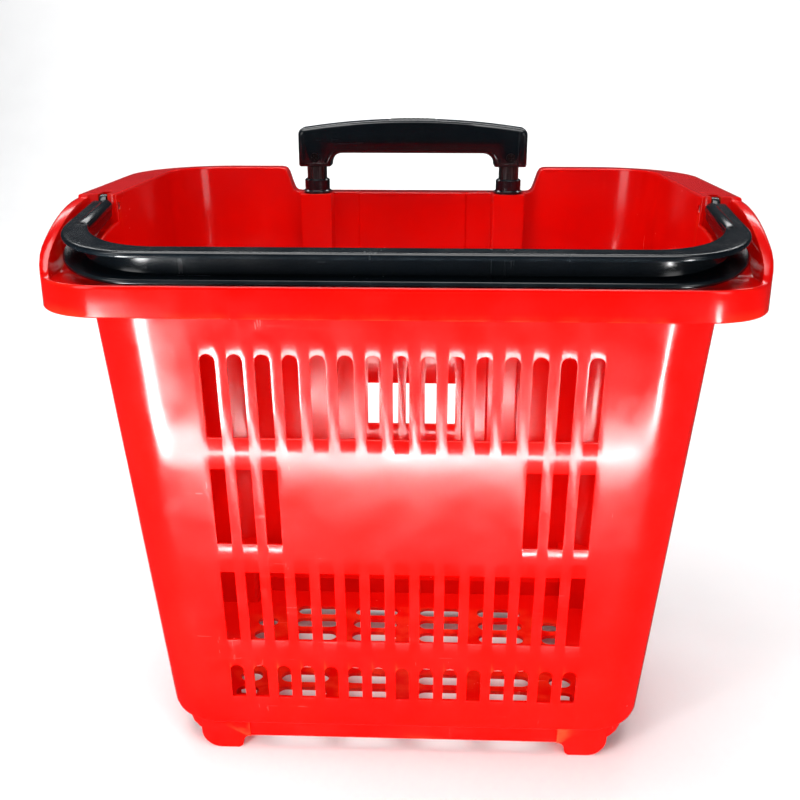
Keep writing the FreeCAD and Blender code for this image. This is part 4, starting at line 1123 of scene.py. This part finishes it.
LOOKS = {"basket_plastic": red, "handle_plastic": black, "button_plastic": matt_black,
         "bracket_plastic": matt_black, "tube_metal": tube_black, "steel": steel, "dark_steel": dark_steel,
         "hub_plastic": matt_black, "tread": rubber}
for part in frame["record"]["subparts"]:
    node = frame["nodes"][part["node"]]
    dress(node, LOOKS[part["material_slot"]])


# ---------- camera, floor and light
def make_camera():
    """A camera a little above the rim, looking down into the front of the basket."""
    data = bpy.data.cameras.new("camera")
    data.lens = 45
    data.sensor_width = 36
    camera = link_object("camera", data)
    turn = Euler((math.radians(71), 0, math.radians(2.14)), "XYZ").to_matrix()
    camera.matrix_world = Matrix.Translation((0.023, -0.774, 0.536)) @ turn.to_4x4()
    bpy.context.scene.camera = camera


def make_floor():
    """A large pale floor that curves up far behind."""
    profile = [(-3.0, 0.0), (2.2, 0.0)]
    profile += [(2.2 + 0.9 * math.sin(math.radians(a)), 0.9 - 0.9 * math.cos(math.radians(a)))
                for a in range(10, 91, 10)]
    profile.append((3.1, 3.5))
    points = [(x / MM, y / MM, z / MM) for y, z in profile for x in (-5.0, 5.0)]
    faces = [(2 * i, 2 * i + 1, 2 * i + 3, 2 * i + 2) for i in range(len(profile) - 1)]
    floor = make_object("studio_floor", points, faces)
    smooth(floor, 60)
    dress(floor, floor_paint)
    floor.visible_glossy = False


def make_light(name, place, aim, size, power):
    """A rectangular soft light."""
    data = bpy.data.lights.new(name, "AREA")
    data.shape = "RECTANGLE"
    data.size, data.size_y = size
    data.energy = power
    light = link_object(name, data)
    light.visible_camera = False
    direction = Vector(aim) - Vector(place)
    light.matrix_world = Matrix.Translation(place) @ direction.to_track_quat("-Z", "Y").to_matrix().to_4x4()


def make_world():
    """Dim surroundings above, and the brightness of a white table below."""
    world = bpy.data.worlds.new("studio")
    world.use_nodes = True
    nodes, links = world.node_tree.nodes, world.node_tree.links
    direction = nodes.new("ShaderNodeTexCoord").outputs["Generated"]
    split = nodes.new("ShaderNodeSeparateXYZ")
    blend = nodes.new("ShaderNodeMapRange")
    blend.inputs["From Min"].default_value = -0.25
    blend.inputs["From Max"].default_value = 0.05
    mix = nodes.new("ShaderNodeMix")
    mix.data_type = "RGBA"
    mix.inputs[6].default_value = (0.05, 0.05, 0.05, 1.0)
    mix.inputs[7].default_value = (0.035, 0.042, 0.05, 1.0)
    links.new(direction, split.inputs["Vector"])
    links.new(split.outputs["Z"], blend.inputs["Value"])
    links.new(blend.outputs["Result"], mix.inputs[0])
    links.new(mix.outputs[2], nodes["Background"].inputs["Color"])
    bpy.context.scene.world = world


make_camera()
make_floor()
make_world()
make_light("overhead", (-0.15, -0.35, 2.0), (0, 0.05, 0.1), (1.7, 1.3), 36)
make_light("backdrop", (0.0, 1.5, 1.9), (0, 2.2, 0.3), (3.0, 0.8), 60)
make_light("front_left", (-1.5, -1.7, 1.1), (0, 0, 0.2), (0.9, 1.2), 9)
make_light("front_right", (1.4, -1.9, 1.0), (0, 0, 0.2), (0.7, 1.2), 6)
make_light("low_band", (0.0, -0.50, 0.012), (0.0, -0.14, 0.28), (0.95, 0.030), 3.8)
make_light("low_glow", (0.0, -0.50, 0.008), (0.0, -0.30, 0.28), (1.0, 0.26), 0.35)
make_light("low_left", (-0.37, -0.52, 0.14), (-0.15, -0.14, 0.34), (0.12, 0.28), 4.4)
make_light("low_right", (0.43, -0.56, 0.15), (0.16, -0.14, 0.34), (0.035, 0.28), 1.8)
bpy.context.scene.view_settings.view_transform = "Standard"
